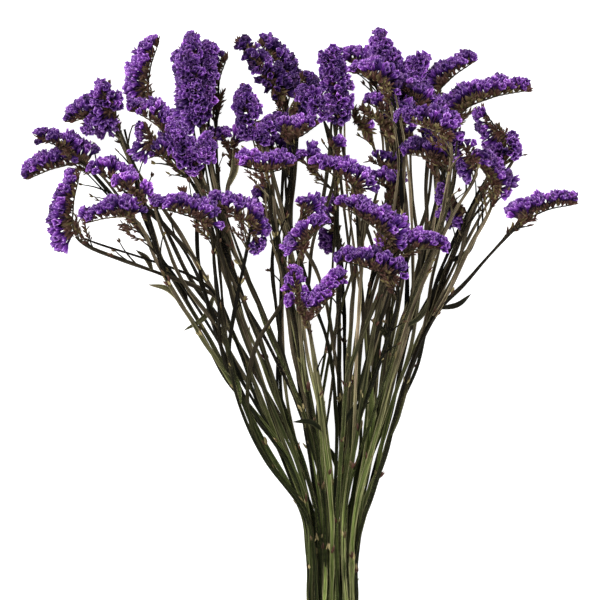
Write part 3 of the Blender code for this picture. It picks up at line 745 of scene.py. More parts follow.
def flower_head(name, head, shapes, flowers):
    """The papery calyces of one head as one mesh."""
    mesh = fresh_mesh()
    chance = random.Random(f"shade {name}{head.name}")
    own_shade = chance.uniform(-0.1, 0.1)
    given_shade = habit_of(name, head).shade
    # The head's shade darkens or lightens all its calyces: its own tone, and in part painted shade on heads
    # deep in the bunch
    shade = 0.5 + (own_shade if given_shade is None else given_shade)
    copies = []
    for root, way, length in calyces_of(name, head, flowers):
        width = flowers.mouth / MM / 2 * chance.uniform(0.75, 1.15)
        matrix = standing(root, way, length, width, chance.uniform(*ANY_TURN), chance.uniform(0.75, 1.3))
        tint = shade + chance.gauss(0, 0.2)
        copies.append((chance.choice(shapes), matrix, tint, Vector((chance.uniform(*PATTERN_SHIFT), 0, 0))))
    stamp_all(mesh, copies)
    return mesh


def bracts_of(name, head, flowers):
    """Where the bracts of a head stand: root, direction, length, width and tint of each."""
    chance = random.Random(f"bracts {name}{head.name}")
    habit = habit_of(name, head)
    length = flowers.bract_length / MM * habit.chaff
    count = round(BRACTS * habit.chaff)
    found = []
    for root, axis, along, size in spikelets_of(name, head):
        first = square_to(axis, along)
        for index in range(count):
            aside = swung(first, axis.cross(first), FULL_TURN * index / count + chance.uniform(-0.4, 0.4))
            way = (axis + aside * chance.uniform(0.25, 0.75) * habit.chaff).normalized()
            tint = chance.choice(BRACT_TINTS) + chance.uniform(-0.06, 0.06) + habit.green
            scale = size * chance.uniform(0.6, 1.1)
            base = root + axis * chance.uniform(-1.8, 2.4) + along * chance.uniform(-1.4, 1.4)
            found.append((base, way, length * scale, length * BRACT_WIDTH * scale, tint))
    found += tip_bracts(name, head, chance, length)
    for points in branchlets_of(name, head):
        found += bracts_along(points, chance, habit.green)
    return found


def tip_bracts(name, head, chance, length):
    """The closed, reddish bracts at the tips of a head's spike."""
    route, start, end = spike_of(name, head)
    ends = [(end, 1.0)] if len(head.tips) == 1 else [(start, -1.0), (end, 1.0)]
    facing = look(head)
    found = []
    for mark, sign in ends:
        forward = route.along(mark) * sign
        normal = square_to(forward, facing)
        for index in range(TIP_BRACTS):
            outward = swung(normal, normal.cross(forward), math.radians(chance.uniform(-110, 110)))
            way = (forward * chance.uniform(0.8, 2.0) + outward).normalized()
            root = route.at(mark) - forward * (SPIKE_TIP * index / TIP_BRACTS + 0.5)
            tint = 0.28 + chance.uniform(-0.12, 0.2)
            found.append((root, way, length * chance.uniform(0.6, 0.95), length * TIP_BRACT_WIDTH, tint))
    return found


def fork_bracts(name):
    """Small brown and straw bracts where a shoot forks, and scattered where a leaf has dropped."""
    chance = random.Random(f"fork bracts {name}")
    found = []
    for head in SPRAYS[name].heads:
        route, foot = ROUTES[name][head.name]
        marks = [2.0] if head.fork and head.fork[1] > LOWEST_FORK else []
        marks += spaced(chance.uniform(60, 110), foot, chance.uniform(55, 90)) if foot > 120 else []
        for mark in marks:
            along = route.along(mark)
            for _ in range(3):
                aside = square_to(along, drawn(chance, (-1, 1), (-1, 1), (-0.2, 1)))
                root = route.at(mark) + aside * 1.2 + along * chance.uniform(-1.5, 1.5)
                way = (along + aside * chance.uniform(0.1, 0.6)).normalized()
                length = chance.uniform(3.5, 8.5)
                found.append((root, way, length, length * FORK_BRACT_WIDTH, chance.choice(FORK_TINTS)))
    return found


def bracts_along(points, chance, green):
    """Small bracts up the outer part of a branchlet and in a tuft at its end."""
    route = Route(points)
    found = []
    for mark in spaced(route.length * 0.35, route.length, 1.5):
        along = route.along(mark, 1.0)
        for _ in range(2):
            lean = drawn(chance, (-0.7, 0.7), (-0.7, 0.7), (-0.4, 0.6))
            tint = chance.choice(BRACT_TINTS) + green
            length = chance.uniform(3.2, 6.4)
            width = length * TWIG_BRACT_WIDTH
            found.append((route.at(mark), (along + lean).normalized(), length, width, tint))
    return found


def twig_tufts(name, chance):
    """The tuft of bracts at the end of each twig of a spray."""
    found = []
    for points in twigs_of(name):
        way = (points[-1] - points[-2]).normalized()
        for _ in range(chance.randint(2, 5)):
            lean = drawn(chance, (-0.5, 0.5), (-0.5, 0.5), (-0.3, 0.5))
            root = points[-1] - way * chance.uniform(0, 2)
            length = chance.uniform(3.5, 6.0)
            found.append((root, (way + lean).normalized(), length, 1.0, chance.uniform(0.2, 0.75)))
    return found


def branchlets_of(name, head):
    """Side branchlets that fan from a shoot's last stretch to the underside of its head."""
    chance = random.Random(f"branchlets {name}{head.name}")
    spike, start, end = spike_of(name, head)
    shoot, foot = ROUTES[name][head.name]
    facing = look(head)
    found = []
    for _ in range(BRANCHLETS):
        root = shoot.at(foot - chance.uniform(*BRANCHLET_FROM))
        goal = spike.at(start + (end - start) * chance.uniform(0.0, 0.6))
        goal += drawn(chance, (-5, 5), (-5, 5), (-5, 4)) + facing * chance.uniform(-2, 5)
        goal = root + (goal - root) * min(1.0, BRANCHLET_REACH / (goal - root).length)
        goal.z = max(goal.z, LOWEST_BRANCHLET)
        bow = drawn(chance, (-2, 2), (-2, 2), (-1, 2))
        found.append([root, root.lerp(goal, 0.5) + bow, goal])
    return found


def twigs_of(name):
    """Short side twigs under the heads of a spray: the points that each runs through."""
    chance = random.Random(f"twigs {name}")
    found = []
    for head in SPRAYS[name].heads:
        route, foot = ROUTES[name][head.name]
        for _ in range(chance.choice(TWIGS)):
            mark = foot - chance.uniform(*TWIG_FROM)
            if mark < foot * 0.3:
                continue
            start, along = route.at(mark), route.along(mark)
            aside = square_to(along, drawn(chance, (-1, 1), (-1, 1), (-0.4, 0.6)))
            reach = chance.uniform(*TWIG_REACH)
            tip = start + (along * 0.85 + aside * 0.55) * reach
            tip.z = max(tip.z, LOWEST_TWIG)
            found.append([start, start.lerp(tip, 0.5) + along * reach * 0.08, tip])
    return found


def winged_ring(centre, normal, along, wings, distance, core=0.4):
    """A ring of a winged stem: three thin wings of the given reach round a core."""
    across = normal.cross(along)
    body = core * sum(wings) / 3
    ring = []
    for index, wing in enumerate(wings):
        middle = math.pi / 2 + FULL_TURN * index / 3
        for turn, reach, edge in ((-WING_FOOT, body, 0.0), (0.0, wing, 1.0), (WING_FOOT, body, 0.0)):
            a, n = reach * math.cos(middle + turn), reach * math.sin(middle + turn)
            ring.append((centre + across * a + normal * n, edge, Vector((a, n, distance))))
    return ring


def winged_stem(mesh, route, end, reach, tip_reach, chance, tint, slim_from=0.75):
    """A winged stem along a route, slimmer from a share of its length on, with wavy, slowly turning wings."""
    phase = [chance.uniform(*ANY_TURN) for _ in range(3)]
    spin, start_turn = chance.uniform(-STEM_SPIN, STEM_SPIN), chance.uniform(*ANY_TURN)
    normal = Vector((0, 0, 1))
    rings = []
    for distance in spaced(0.0, end, STEM_STEP):
        along = route.along(distance)
        normal = square_to(along, normal)
        turned = Matrix.Rotation(start_turn + spin * distance, 3, along) @ normal
        slim = max(0.0, (distance / end - slim_from) / (1 - slim_from))
        size = reach + (tip_reach - reach) * slim
        wings = []
        for index, turn in enumerate(phase):
            wings.append(size * (1 + WING_WAVE * math.sin(distance / (7 + 3 * index) + turn)))
        rings.append(winged_ring(route.at(distance), turned, along, wings, distance))
    add_tube(mesh, rings, tint)


def rachis_stem(mesh, name, head, stems, tint):
    """The slim, slightly crooked stem that a head's spikelets stand on."""
    route, start, end = spike_of(name, head)
    chance = random.Random(f"rachis {name}{head.name}")
    facing = look(head)
    rings = []
    marks = spaced(start, end, SPIKELET_PITCH / 2)
    for index, distance in enumerate(marks):
        along = route.along(distance)
        normal = square_to(along, facing)
        crook = normal.cross(along) * (RACHIS_CROOK if index % 2 else -RACHIS_CROOK)
        size = stems.rachis / MM * (1.0 - 0.45 * index / len(marks)) * chance.uniform(0.9, 1.1)
        centre = route.at(distance) - normal * RACHIS_DROP + crook
        rings.append(winged_ring(centre, normal, along, [size] * 3, distance, 0.6))
    add_tube(mesh, rings, tint)


def leaf_blade(mesh, leaf, route, tint):
    """A lance-shaped leaf, folded a little along its midrib and bending as it goes."""
    root = route.at(route.where_y(leaf.y))
    tip = root + Vector(leaf.tip)
    side = (tip - root).cross(Vector((0, 0, 1)))
    blade = Route([root, root.lerp(tip, 0.5) + side * leaf.bend, tip])
    rings = []
    for step in range(LEAF_STEPS + 1):
        share = step / LEAF_STEPS
        along = blade.along(blade.length * share)
        normal = square_to(along, Vector((0.3, 0.2, 1.0)))
        across = normal.cross(along)
        width = leaf.half * max(0.08, math.sin(math.pi * (0.1 + 0.9 * share)) ** 0.7)
        wave = 0.12 * leaf.half * math.sin(9 * share)
        ring = []
        for a, n, edge in LEAF_RING:
            point = blade.at(blade.length * share) + across * a * width + normal * (n * width + wave * a)
            ring.append((point, float(edge), Vector((a * width, n, blade.length * share))))
        rings.append(ring)
    add_tube(mesh, rings, tint)


def spray_stems(name, stems):
    """Stems, branches, rachises, branchlets, twigs and leaves of one spray as one mesh."""
    mesh = fresh_mesh()
    spray = SPRAYS[name]
    chance = random.Random(f"stems {name}")
    shade = chance.uniform(0.2, 0.8)
    for head in spray.heads:
        route, foot = ROUTES[name][head.name]
        reach = stems.wing if head.slot is not None else stems.branch_wing
        tint = shade + chance.uniform(-0.15, 0.15)
        if (name, head) not in SOLID_HEADS:
            reach *= SIDE_SHOOT
        winged_stem(mesh, route, foot, reach / MM, reach / MM * THINNED, chance, tint)
        rachis_stem(mesh, name, head, stems, tint)
        for points in branchlets_of(name, head):
            branchlet = Route(points)
            own_tint = tint + chance.uniform(-0.2, 0.2)
            winged_stem(mesh, branchlet, branchlet.length, 0.8, 0.45, chance, own_tint, 0.2)
    for leaf in spray.leaves:
        leaf_blade(mesh, leaf, ROUTES[name][leaf.on][0], 0.85 + chance.uniform(-0.1, 0.1))
    for points in twigs_of(name):
        twig = Route(points)
        winged_stem(mesh, twig, twig.length, 0.95, 0.5, chance, shade, 0.2)
    return mesh


def strand_between(start, finish, chance):
    """A strand's route, from one head's shoot over to another's, to end under that one."""
    goal = foot_of(SPRAYS[finish[0]], finish[1])
    aside = drawn(chance, (-9, 9), (-12, 3), (-6, 3))
    first = chance.choice((CUT_END, chance.uniform(*STRAND_STARTS)))
    points = []
    for share in STRAND_SHARES:
        y = first + (goal.y - 2.0 - first) * share
        blend = share * share * (3 - 2 * share)
        sway = Vector((chance.uniform(-5, 5), 0, chance.uniform(-6, 6)))
        sway = sway * math.sin(math.pi * share) * share * 1.4
        point = on_way(*start, y).lerp(on_way(*finish, y), blend) + sway + aside * share ** 3
        points.append(Vector((point.x, y, max(point.z, LOWEST_STRAND))))
    return Route(points)


def strand_routes(count):
    """The layer and route of each strand, between shoots that aren't far apart."""
    chance = random.Random("strands")
    middle = []
    for name, head in SOLID_HEADS:
        if abs(head.foot[0] - CROWD_X) < CROWD_REACH and head.foot[1] > CROWD_Y:
            middle.append((name, head))
    crowd = [(name, head) for name, head in middle if name + head.name in CROWDED]
    found = []
    while len(found) < count:
        start, finish = chance.choice(SOLID_HEADS), chance.choice(SOLID_HEADS + middle * 2 + crowd * 6)
        gap = abs(start[1].foot[0] - finish[1].foot[0])
        step = abs(start[1].foot[1] - finish[1].foot[1])
        if start != finish and gap <= STRAND_GAP and step <= STRAND_STEP:
            found.append((SPRAYS[finish[0]].layer, strand_between(start, finish, chance)))
    return found


def ring_points():
    """Points round the tied stems, from over their middle and back to there, where a turn of twine lies."""
    slots = {layer: [] for layer in LAYERS}
    for spray in SPRAYS.values():
        slots[spray.layer] += [head.slot for head in spray.heads if head.slot is not None]
    corners = [(max(slots[layer]), layer) for layer in ("low", "middle", "top")]
    corners += [(min(slots[layer]), layer) for layer in ("top", "low")]
    corners = [Vector((slot * SLOT_PITCH, TIE_Y, LAYERS[layer][0])) for slot, layer in corners]
    points = []
    for before, corner, after in zip(corners[-1:] + corners, corners, corners[1:] + corners[:1]):
        first = math.atan2(corner.z - before.z, corner.x - before.x)
        last = math.atan2(after.z - corner.z, after.x - corner.x)
        turn = (last - first) % FULL_TURN
        steps = max(1, math.ceil(math.degrees(turn) / TIE_TURN))
        for step in range(steps + 1):
            angle = first + turn * step / steps - math.pi / 2
            points.append((corner, Vector((math.cos(angle), 0, math.sin(angle)))))
    top = max(range(len(points)), key=lambda index: points[index][0].z + points[index][1].z)
    middle = (Vector((0, TIE_Y, points[top][0].z)), points[top][1])
    return [middle] + points[top + 1:] + points[:top + 1] + [middle]


def twine_path(thickness):
    """The way of the twine: turns that lie side by side round the stems."""
    ring = [corner + out * (TIE_BORE + thickness / 2) for corner, out in ring_points()]
    lengths = [(b - a).length for a, b in zip(ring, ring[1:])]
    total = sum(lengths)
    path = []
    for turn in range(TWINE_TURNS):
        gone = 0.0
        for point, length in zip(ring, lengths):
            shift = (turn + gone / total - TWINE_TURNS / 2) * thickness
            path.append(point + Vector((0, shift, 0)))
            gone += length
    return path + [ring[-1] + Vector((0, thickness * TWINE_TURNS / 2, 0))]


def twisted_twine(mesh, points, thickness, guide):
    """Plies twisted round each other along a line of points."""
    line = Route(points, curved=False)
    points = [line.at(mark) for mark in spaced(0.0, line.length, TWINE_STEP)]
    for ply in range(TWINE_PLIES):
        rings = []
        normal = guide
        for index, point in enumerate(points):
            along = (points[min(index + 1, len(points) - 1)] - points[max(index - 1, 0)]).normalized()
            normal = square_to(along, normal)
            across = normal.cross(along)
            turn = FULL_TURN * (index * TWINE_STEP / TWINE_LAY + ply / TWINE_PLIES)
            centre = point + swung(across, normal, turn) * thickness * PLY_OFFSET
            ring = []
            for side in range(PLY_SIDES):
                angle = FULL_TURN / PLY_SIDES * side
                a, n = math.cos(angle) * thickness * PLY_RADIUS, math.sin(angle) * thickness * PLY_RADIUS
                spot = Vector((a + 3 * ply, n, index * TWINE_STEP))
                ring.append((centre + across * a + normal * n, 0.5, spot))
            rings.append(ring)
        add_tube(mesh, rings, 0.4 + 0.1 * ply)


def twine_knot(thickness):
    """The knot over the turns: a loop drawn round them, and two cut ends."""
    top = max(corner.z + out.z * (TIE_BORE + thickness / 2) for corner, out in ring_points())
    middle = Vector((0.0, TIE_Y, top))
    loops = []
    for side in (-1, 1):
        loop = []
        for step in range(KNOT_STEPS + 1):
            angle = FULL_TURN * step / KNOT_STEPS + 1.2 * side
            reach = side * 0.8 + step * 0.06 * side
            round_them = (reach, 2.1 * thickness * math.cos(angle), thickness * math.sin(angle))
            loop.append(middle + Vector(round_them))
        loops.append(loop)
    for side, length in TWINE_ENDS:
        start = middle + Vector((side * 1.2, 0, thickness * 0.9))
        loops.append(smooth([
            start,
            start + Vector((side * length * 0.4, -length * 0.15, 1.6)),
            start + Vector((side * length * 0.7, -length * 0.5, 0.4)),
            start + Vector((side * length * 0.8, -length * 0.95, -thickness * 0.6)),
        ]))
    return loops


def node_of(tree, kind, **values):
    """A new shader node with some of its settings."""
    made = tree.nodes.new(kind)
    for key, value in values.items():
        setattr(made, key, value)
    return made


def attribute(tree, name, output="Fac"):
    """The output of a node that reads one of the piece's own values."""
    return node_of(tree, "ShaderNodeAttribute", attribute_name=name).outputs[output]


def feed(tree, socket, value):
    """Links an input to an output, or sets it to a number or a colour."""
    if isinstance(value, bpy.types.NodeSocket):
        tree.links.new(value, socket)
    else:
        socket.default_value = value if isinstance(value, float) else (*value, 1.0)


def calculated(tree, operation, *values):
    """The output of a Math node with its inputs linked or set."""
    made = node_of(tree, "ShaderNodeMath", operation=operation)
    for socket, value in zip(made.inputs, values):
        feed(tree, socket, value)
    return made.outputs[0]


def ranged(tree, value, low, high, new_low, new_high):
    """A value carried from one range to another, and kept in it."""
    made = node_of(tree, "ShaderNodeMapRange")
    tree.links.new(value, made.inputs["Value"])
    for name, number in (("From Min", low), ("From Max", high), ("To Min", new_low), ("To Max", new_high)):
        made.inputs[name].default_value = number
    return made.outputs[0]


def mixed(tree, factor, first, second):
    """The colour between two colours, each linked or set."""
    made = node_of(tree, "ShaderNodeMix", data_type="RGBA")
    for socket, value in zip((made.inputs[0], *made.inputs[6:8]), (factor, first, second)):
        feed(tree, socket, value)
    return made.outputs[2]


def graded(tree, value, stops):
    """The colour at a value on a scale of colours."""
    ramp = node_of(tree, "ShaderNodeValToRGB")
    while len(ramp.color_ramp.elements) < len(stops):
        ramp.color_ramp.elements.new(0.5)
    for element, (place, colour) in zip(ramp.color_ramp.elements, stops):
        element.position = place
        element.color = (*colour, 1.0)
    tree.links.new(value, ramp.inputs[0])
    return ramp.outputs[0]


def new_group(name, inputs, output):
    """An empty shader node group with float inputs, and a vector input before them."""
    group = bpy.data.node_groups.new(name, "ShaderNodeTree")
    group.interface.new_socket("Vector", in_out="INPUT", socket_type="NodeSocketVector")
    for label, value in inputs:
        socket = group.interface.new_socket(label, in_out="INPUT", socket_type="NodeSocketFloat")
        socket.default_value = value
    group.interface.new_socket(output, in_out="OUTPUT", socket_type="NodeSocketFloat")
    return group, group.nodes.new("NodeGroupInput"), group.nodes.new("NodeGroupOutput")


def fibres_group():
    """Shared effect: fine streaks that run along a stem, a leaf, a bract or a ply."""
    if "dried_fibres" in bpy.data.node_groups:
        return bpy.data.node_groups["dried_fibres"]
    group, start, end = new_group("dried_fibres", (("Across", 2.0), ("Along", 0.05)), "Streak")
    scale = group.nodes.new("ShaderNodeCombineXYZ")
    stretch = node_of(group, "ShaderNodeVectorMath", operation="MULTIPLY")
    streak = node_of(group, "ShaderNodeTexNoise")
    streak.inputs["Scale"].default_value = 1.0
    streak.inputs["Detail"].default_value = 3.0
    streak.inputs["Roughness"].default_value = 0.65
    for index, name in enumerate(("Across", "Across", "Along")):
        group.links.new(start.outputs[name], scale.inputs[index])
    group.links.new(start.outputs["Vector"], stretch.inputs[0])
    group.links.new(scale.outputs[0], stretch.inputs[1])
    group.links.new(stretch.outputs[0], streak.inputs["Vector"])
    group.links.new(ranged(group, streak.outputs[0], 0.34, 0.66, 0.0, 1.0), end.inputs[0])
    return group


def mottle_group():
    """Shared effect: blotches where a dried plant has faded or browned."""
    if "dried_mottle" in bpy.data.node_groups:
        return bpy.data.node_groups["dried_mottle"]
    group, start, end = new_group("dried_mottle", (("Scale", 60.0), ("Cover", 0.5)), "Blotch")
    blotch = node_of(group, "ShaderNodeTexNoise")
    blotch.inputs["Detail"].default_value = 2.0
    group.links.new(start.outputs["Vector"], blotch.inputs["Vector"])
    group.links.new(start.outputs["Scale"], blotch.inputs["Scale"])
    over = calculated(group, "SUBTRACT", blotch.outputs[0], start.outputs["Cover"])
    group.links.new(ranged(group, over, -0.06, 0.1, 0.0, 1.0), end.inputs[0])
    return group


def effect(tree, group, vector, **values):
    """A shared effect placed in a material, with its own values."""
    made = node_of(tree, "ShaderNodeGroup", node_tree=group)
    tree.links.new(vector, made.inputs["Vector"])
    for name, value in values.items():
        made.inputs[name].default_value = value
    return made.outputs[0]


def finish_named(name, roughness):
    """A new material: itself, its node tree and its shader."""
    material = bpy.data.materials.new(name)
    material.use_nodes = True
    shader = material.node_tree.nodes["Principled BSDF"]
    shader.inputs["Roughness"].default_value = roughness
    shader.inputs["Specular IOR Level"].default_value = 0.06
    return material, material.node_tree, shader


def raised(tree, shader, height, distance, strength=0.6):
    """Relief on a finish from a height that changes over it."""
    bump = node_of(tree, "ShaderNodeBump")
    bump.inputs["Strength"].default_value = strength
    bump.inputs["Distance"].default_value = distance
    tree.links.new(height, bump.inputs["Height"])
    tree.links.new(bump.outputs[0], shader.inputs["Normal"])


def object_place(tree):
    """Where a point is in the bunch."""
    return node_of(tree, "ShaderNodeTexCoord").outputs["Object"]


def own_fibres(tree, across, along):
    """The streaks that run along each small part of a piece."""
    return effect(tree, fibres_group(), attribute(tree, "fibre", "Vector"), Across=across, Along=along)


def times(tree, value, factor):
    """A value multiplied by a factor."""
    return calculated(tree, "MULTIPLY", value, factor)


def at_edge(tree, amount):
    """How much shows of what lies along the edges and tips."""
    return times(tree, calculated(tree, "POWER", attribute(tree, "edge"), 4.0), amount)


def papery_calyx(flowers):
    """Papery violet, dark in the throat with painted shade, and lilac on the crinkled rim, which is paler
    paper and in part a painted highlight.
    """
    material, tree, shader = finish_named("papery_violet_calyx", 0.75)
    pleats = own_fibres(tree, 3.2, 1.6)
    edge = attribute(tree, "edge")
    place = calculated(tree, "ADD", edge, calculated(tree, "MULTIPLY_ADD", pleats, 0.4, -0.26))
    # The scale paints shade into the throat, where the edge value is low
    violet = graded(tree, place, (
        (0.0, flowers.tube_colour), (0.25, flowers.throat_shade_colour), (0.6, flowers.calyx_colour),
        (0.86, flowers.limb_colour), (1.0, flowers.rim_and_highlight_colour),
    ))
    tone = node_of(tree, "ShaderNodeHueSaturation")
    tree.links.new(violet, tone.inputs["Color"])
    # The tint carries each head's shade, in part painted shade on heads deep in the bunch
    tree.links.new(ranged(tree, attribute(tree, "tint"), 0.0, 1.0, 0.22, 1.58), tone.inputs["Value"])
    tree.links.new(ranged(tree, attribute(tree, "tint"), 0.0, 1.0, 0.475, 0.51), tone.inputs["Hue"])
    faded = times(tree, effect(tree, mottle_group(), object_place(tree), Scale=170.0, Cover=0.62), 0.4)
    tree.links.new(mixed(tree, faded, tone.outputs[0], flowers.faded_colour), shader.inputs["Base Color"])
    tree.links.new(ranged(tree, pleats, 0.0, 1.0, 0.85, 0.6), shader.inputs["Roughness"])
    raised(tree, shader, pleats, 0.0004)
    return material


def dry_bract(flowers):
    """Bracts from dark and reddish brown over olive to straw, paler at the tip."""
    material, tree, shader = finish_named("dry_bract", 0.6)
    streak = own_fibres(tree, 1.6, 0.8)
    brown = graded(tree, attribute(tree, "tint"), (
        (0.0, DARK_BRACT), (0.3, flowers.bract_red), (0.55, flowers.bract_olive),
        (0.78, flowers.bract_green), (1.0, STRAW),
    ))
    dark = mixed(tree, times(tree, streak, 0.78), brown, BRACT_STREAK)
    pale = mixed(tree, at_edge(tree, 0.45), dark, PALE_TIP)
    tree.links.new(pale, shader.inputs["Base Color"])
    raised(tree, shader, streak, 0.0002)
    return material


def stem_age(tree, place):
    """From green low on the stems to brown high up, sooner on some shoots, and in blotches."""
    split = node_of(tree, "ShaderNodeSeparateXYZ")
    tree.links.new(place, split.inputs[0])
    blotch = effect(tree, mottle_group(), place, Scale=45.0, Cover=0.5)
    height = ranged(tree, split.outputs["Y"], -0.13, 0.07, 0.0, 1.0)
    by_shoot = calculated(tree, "MULTIPLY_ADD", attribute(tree, "tint"), -0.7, 0.35)
    age = calculated(tree, "ADD", calculated(tree, "ADD", height, by_shoot), times(tree, blotch, 0.16))
    return ranged(tree, age, 0.2, 0.85, 0.0, 1.0)


def stem_tone(tree, surface):
    """A colour made lighter or darker at random by the shoot, most shoots far darker as painted shade for the
    depth of the packed bunch.
    """
    tone = node_of(tree, "ShaderNodeHueSaturation")
    tree.links.new(surface, tone.inputs["Color"])
    own = node_of(tree, "ShaderNodeTexWhiteNoise", noise_dimensions="1D")
    tree.links.new(attribute(tree, "tint"), own.inputs["W"])
    # Most shoots come out dark: painted shade for the depth of the packed stems
    tone_and_depth_shade = calculated(tree, "POWER", own.outputs["Value"], 2.4)
    tree.links.new(ranged(tree, tone_and_depth_shade, 0.0, 1.0, 0.01, 2.15), tone.inputs["Value"])
    return tone.outputs[0]


def winged_green(stems):
    """Dried stem: green low down, olive to grey-brown above, streaked along with near-black grooves and lines
    that are in part painted shade, and pale wing edges that are in part a painted highlight.
    """
    material, tree, shader = finish_named("dried_winged_stem", 0.55)
    streak = own_fibres(tree, 0.75, 0.02)
    fine = own_fibres(tree, 2.2, 0.05)
    # The deep colours of the streaks are near-black grooves: the stem's furrows, and in part painted shade
    green = mixed(tree, streak, stems.green_groove_and_shade, stems.light_green)
    brown = mixed(tree, streak, stems.brown_groove_and_shade, stems.light_brown)
    body = mixed(tree, stem_age(tree, object_place(tree)), green, brown)
    # The pale wing edge is the dry margin and in part a painted highlight
    edged = mixed(tree, at_edge(tree, 0.75), body, stems.wing_edge_and_highlight)
    # The fine near-black lines are in part painted shade
    lined = mixed(tree, times(tree, fine, 0.88), edged, STEM_LINE_AND_SHADE)
    tree.links.new(stem_tone(tree, lined), shader.inputs["Base Color"])
    tree.links.new(ranged(tree, fine, 0.0, 1.0, 0.45, 0.7), shader.inputs["Roughness"])
    raised(tree, shader, fine, 0.0003)
    return material


def jute_twine(tie):
    """Tan plies with loose fibres along them."""
    material, tree, shader = finish_named("jute_twine", 0.85)
    streak = own_fibres(tree, 4.0, 0.5)
    blotch = effect(tree, mottle_group(), object_place(tree), Scale=300.0, Cover=0.5)
    tan = mixed(tree, streak, tie.shade_colour, tie.twine_colour)
    tree.links.new(mixed(tree, times(tree, blotch, 0.25), tan, LOOSE_FIBRE), shader.inputs["Base Color"])
    raised(tree, shader, streak, 0.0004, 0.9)
    return material


def seen_only(tree, strength, behind):
    """A strength that the eye sees in full, and that lights the bunch with a lower one."""
    sight = node_of(tree, "ShaderNodeLightPath").outputs["Is Camera Ray"]
    return ranged(tree, sight, 0.0, 1.0, behind, strength)


def pale_floor(stage):
    """A plain white surface that looks lit from within, so that shadows on it stay faint."""
    material, tree, shader = finish_named("plain_pale_floor", 0.9)
    shader.inputs["Base Color"].default_value = (*stage.floor_colour, 1.0)
    shader.inputs["Emission Color"].default_value = (1.0, 1.0, 1.0, 1.0)
    tree.links.new(seen_only(tree, stage.floor_glow, 0.0), shader.inputs["Emission Strength"])
    return material


def floor_data(stage):
    """The wide, plain floor."""
    mesh = bmesh.new()
    bmesh.ops.create_grid(mesh, x_segments=1, y_segments=1, size=FLOOR_REACH)
    data = mesh_data(mesh, "floor")
    data.materials.append(pale_floor(stage))
    return data


def light_up(name, spot, size, power):
    """A soft light that points at the middle of the picture."""
    lamp = bpy.data.lights.new(name, "AREA")
    lamp.size = size
    lamp.energy = power
    light = placed(name, lamp)
    light.location = spot
    light.rotation_euler = (Vector(VIEW_MIDDLE) - Vector(spot)).to_track_quat("-Z", "Y").to_euler()


def white_room(stage):
    """White all round, which lights the bunch only a little."""
    world = bpy.data.worlds.new("white_room")
    world.use_nodes = True
    sky = world.node_tree.nodes["Background"]
    sky.inputs["Color"].default_value = (1.0, 1.0, 1.0, 1.0)
    world.node_tree.links.new(seen_only(world.node_tree, SKY_SEEN, stage.sky), sky.inputs["Strength"])
    return world


def camera_above(stage):
    """The camera, straight over the middle of the picture."""
    view = bpy.data.cameras.new("camera")
    view.sensor_width = 36.0
    view.lens = view.sensor_width * (stage.camera_height - VIEW_HEIGHT) / stage.view_width
    view.clip_end = 50.0
    camera = placed("camera", view)
    camera.location = Vector(VIEW_MIDDLE) + Vector((0, 0, stage.camera_height))
    return camera


def colour(name, description, default):
    """A colour setting."""
    return FloatVectorProperty(
        name=name, description=description, subtype="COLOR", size=3, min=0.0, max=1.0, default=default
    )


def measure(name, description, default, unit="LENGTH"):
    """A setting with a unit, a length in metres unless it says otherwise."""
    return FloatProperty(name=name, description=description, default=default, unit=unit)


class FlowerSettings(bpy.types.PropertyGroup):
    """Sizes and colours of the papery calyces and the bracts"""

    reach: measure("Reach", "From the rachis to a calyx's mouth", 0.018)
    mouth: measure("Mouth", "Width of a calyx's mouth", 0.0069)
    bract_length: measure("Bract", "Length of a bract", 0.0088)
    tube_colour: colour("Tube", "Foot of a calyx", (0.028, 0.018, 0.014))
    # The throat colour is painted shade deep in each calyx
    throat_shade_colour: colour("Throat", "Deep inside a calyx", (0.008, 0.0015, 0.02))
    calyx_colour: colour("Calyx", "Wall of a calyx", (0.06, 0.012, 0.135))
    limb_colour: colour("Limb", "Spread part of a calyx", (0.185, 0.055, 0.32))
    # The rim colour is the paler paper of the rim and in part a painted highlight
    rim_and_highlight_colour: colour("Rim", "Crinkled edge of a calyx", (0.54, 0.3, 0.71))
    faded_colour: colour("Faded", "Where the paper has browned", (0.1, 0.045, 0.07))
    bract_red: colour("Reddish bract", "Bracts that dried reddish", (0.085, 0.032, 0.024))
    bract_olive: colour("Olive bract", "Bracts that dried olive brown", (0.06, 0.042, 0.018))
    bract_green: colour("Green bract", "Bracts that stayed yellow-green", (0.2, 0.17, 0.06))


class StemSettings(bpy.types.PropertyGroup):
    """Sizes and colours of the winged stems and the leaves"""

    wing: measure("Stem wing", "Reach of a stem's wings", 0.0024)
    branch_wing: measure("Branch wing", "Reach of a branch's wings", 0.0021)
    rachis: measure("Rachis", "Reach of a spike's own stem", 0.0011)
    strands: IntProperty(name="Strands", description="Slim strands that fill the bunch", default=66, min=0)
    # Deep green and deep brown are near-black grooves: the stems' furrows, and in part painted shade
    green_groove_and_shade: colour("Deep green", "Grooves low on the stems", (0.01, 0.016, 0.002))
    light_green: colour("Light green", "Ribs low on the stems", (0.19, 0.24, 0.065))
    brown_groove_and_shade: colour("Deep brown", "Grooves high on the stems", (0.012, 0.008, 0.004))
    light_brown: colour("Light brown", "Ribs high on the stems", (0.22, 0.165, 0.11))
    # The wing edge colour is the dry pale margin and in part a painted highlight
    wing_edge_and_highlight: colour("Wing edge", "Dry edge of the wings", (0.42, 0.38, 0.2))


class TieSettings(bpy.types.PropertyGroup):
    """The twine round the stems"""

    thickness: measure("Twine", "Thickness of the twine", 0.0018)
    twine_colour: colour("Twine", "Ribs of the plies", (0.5, 0.36, 0.2))
    shade_colour: colour("Twine shade", "Between the fibres", (0.2, 0.13, 0.06))


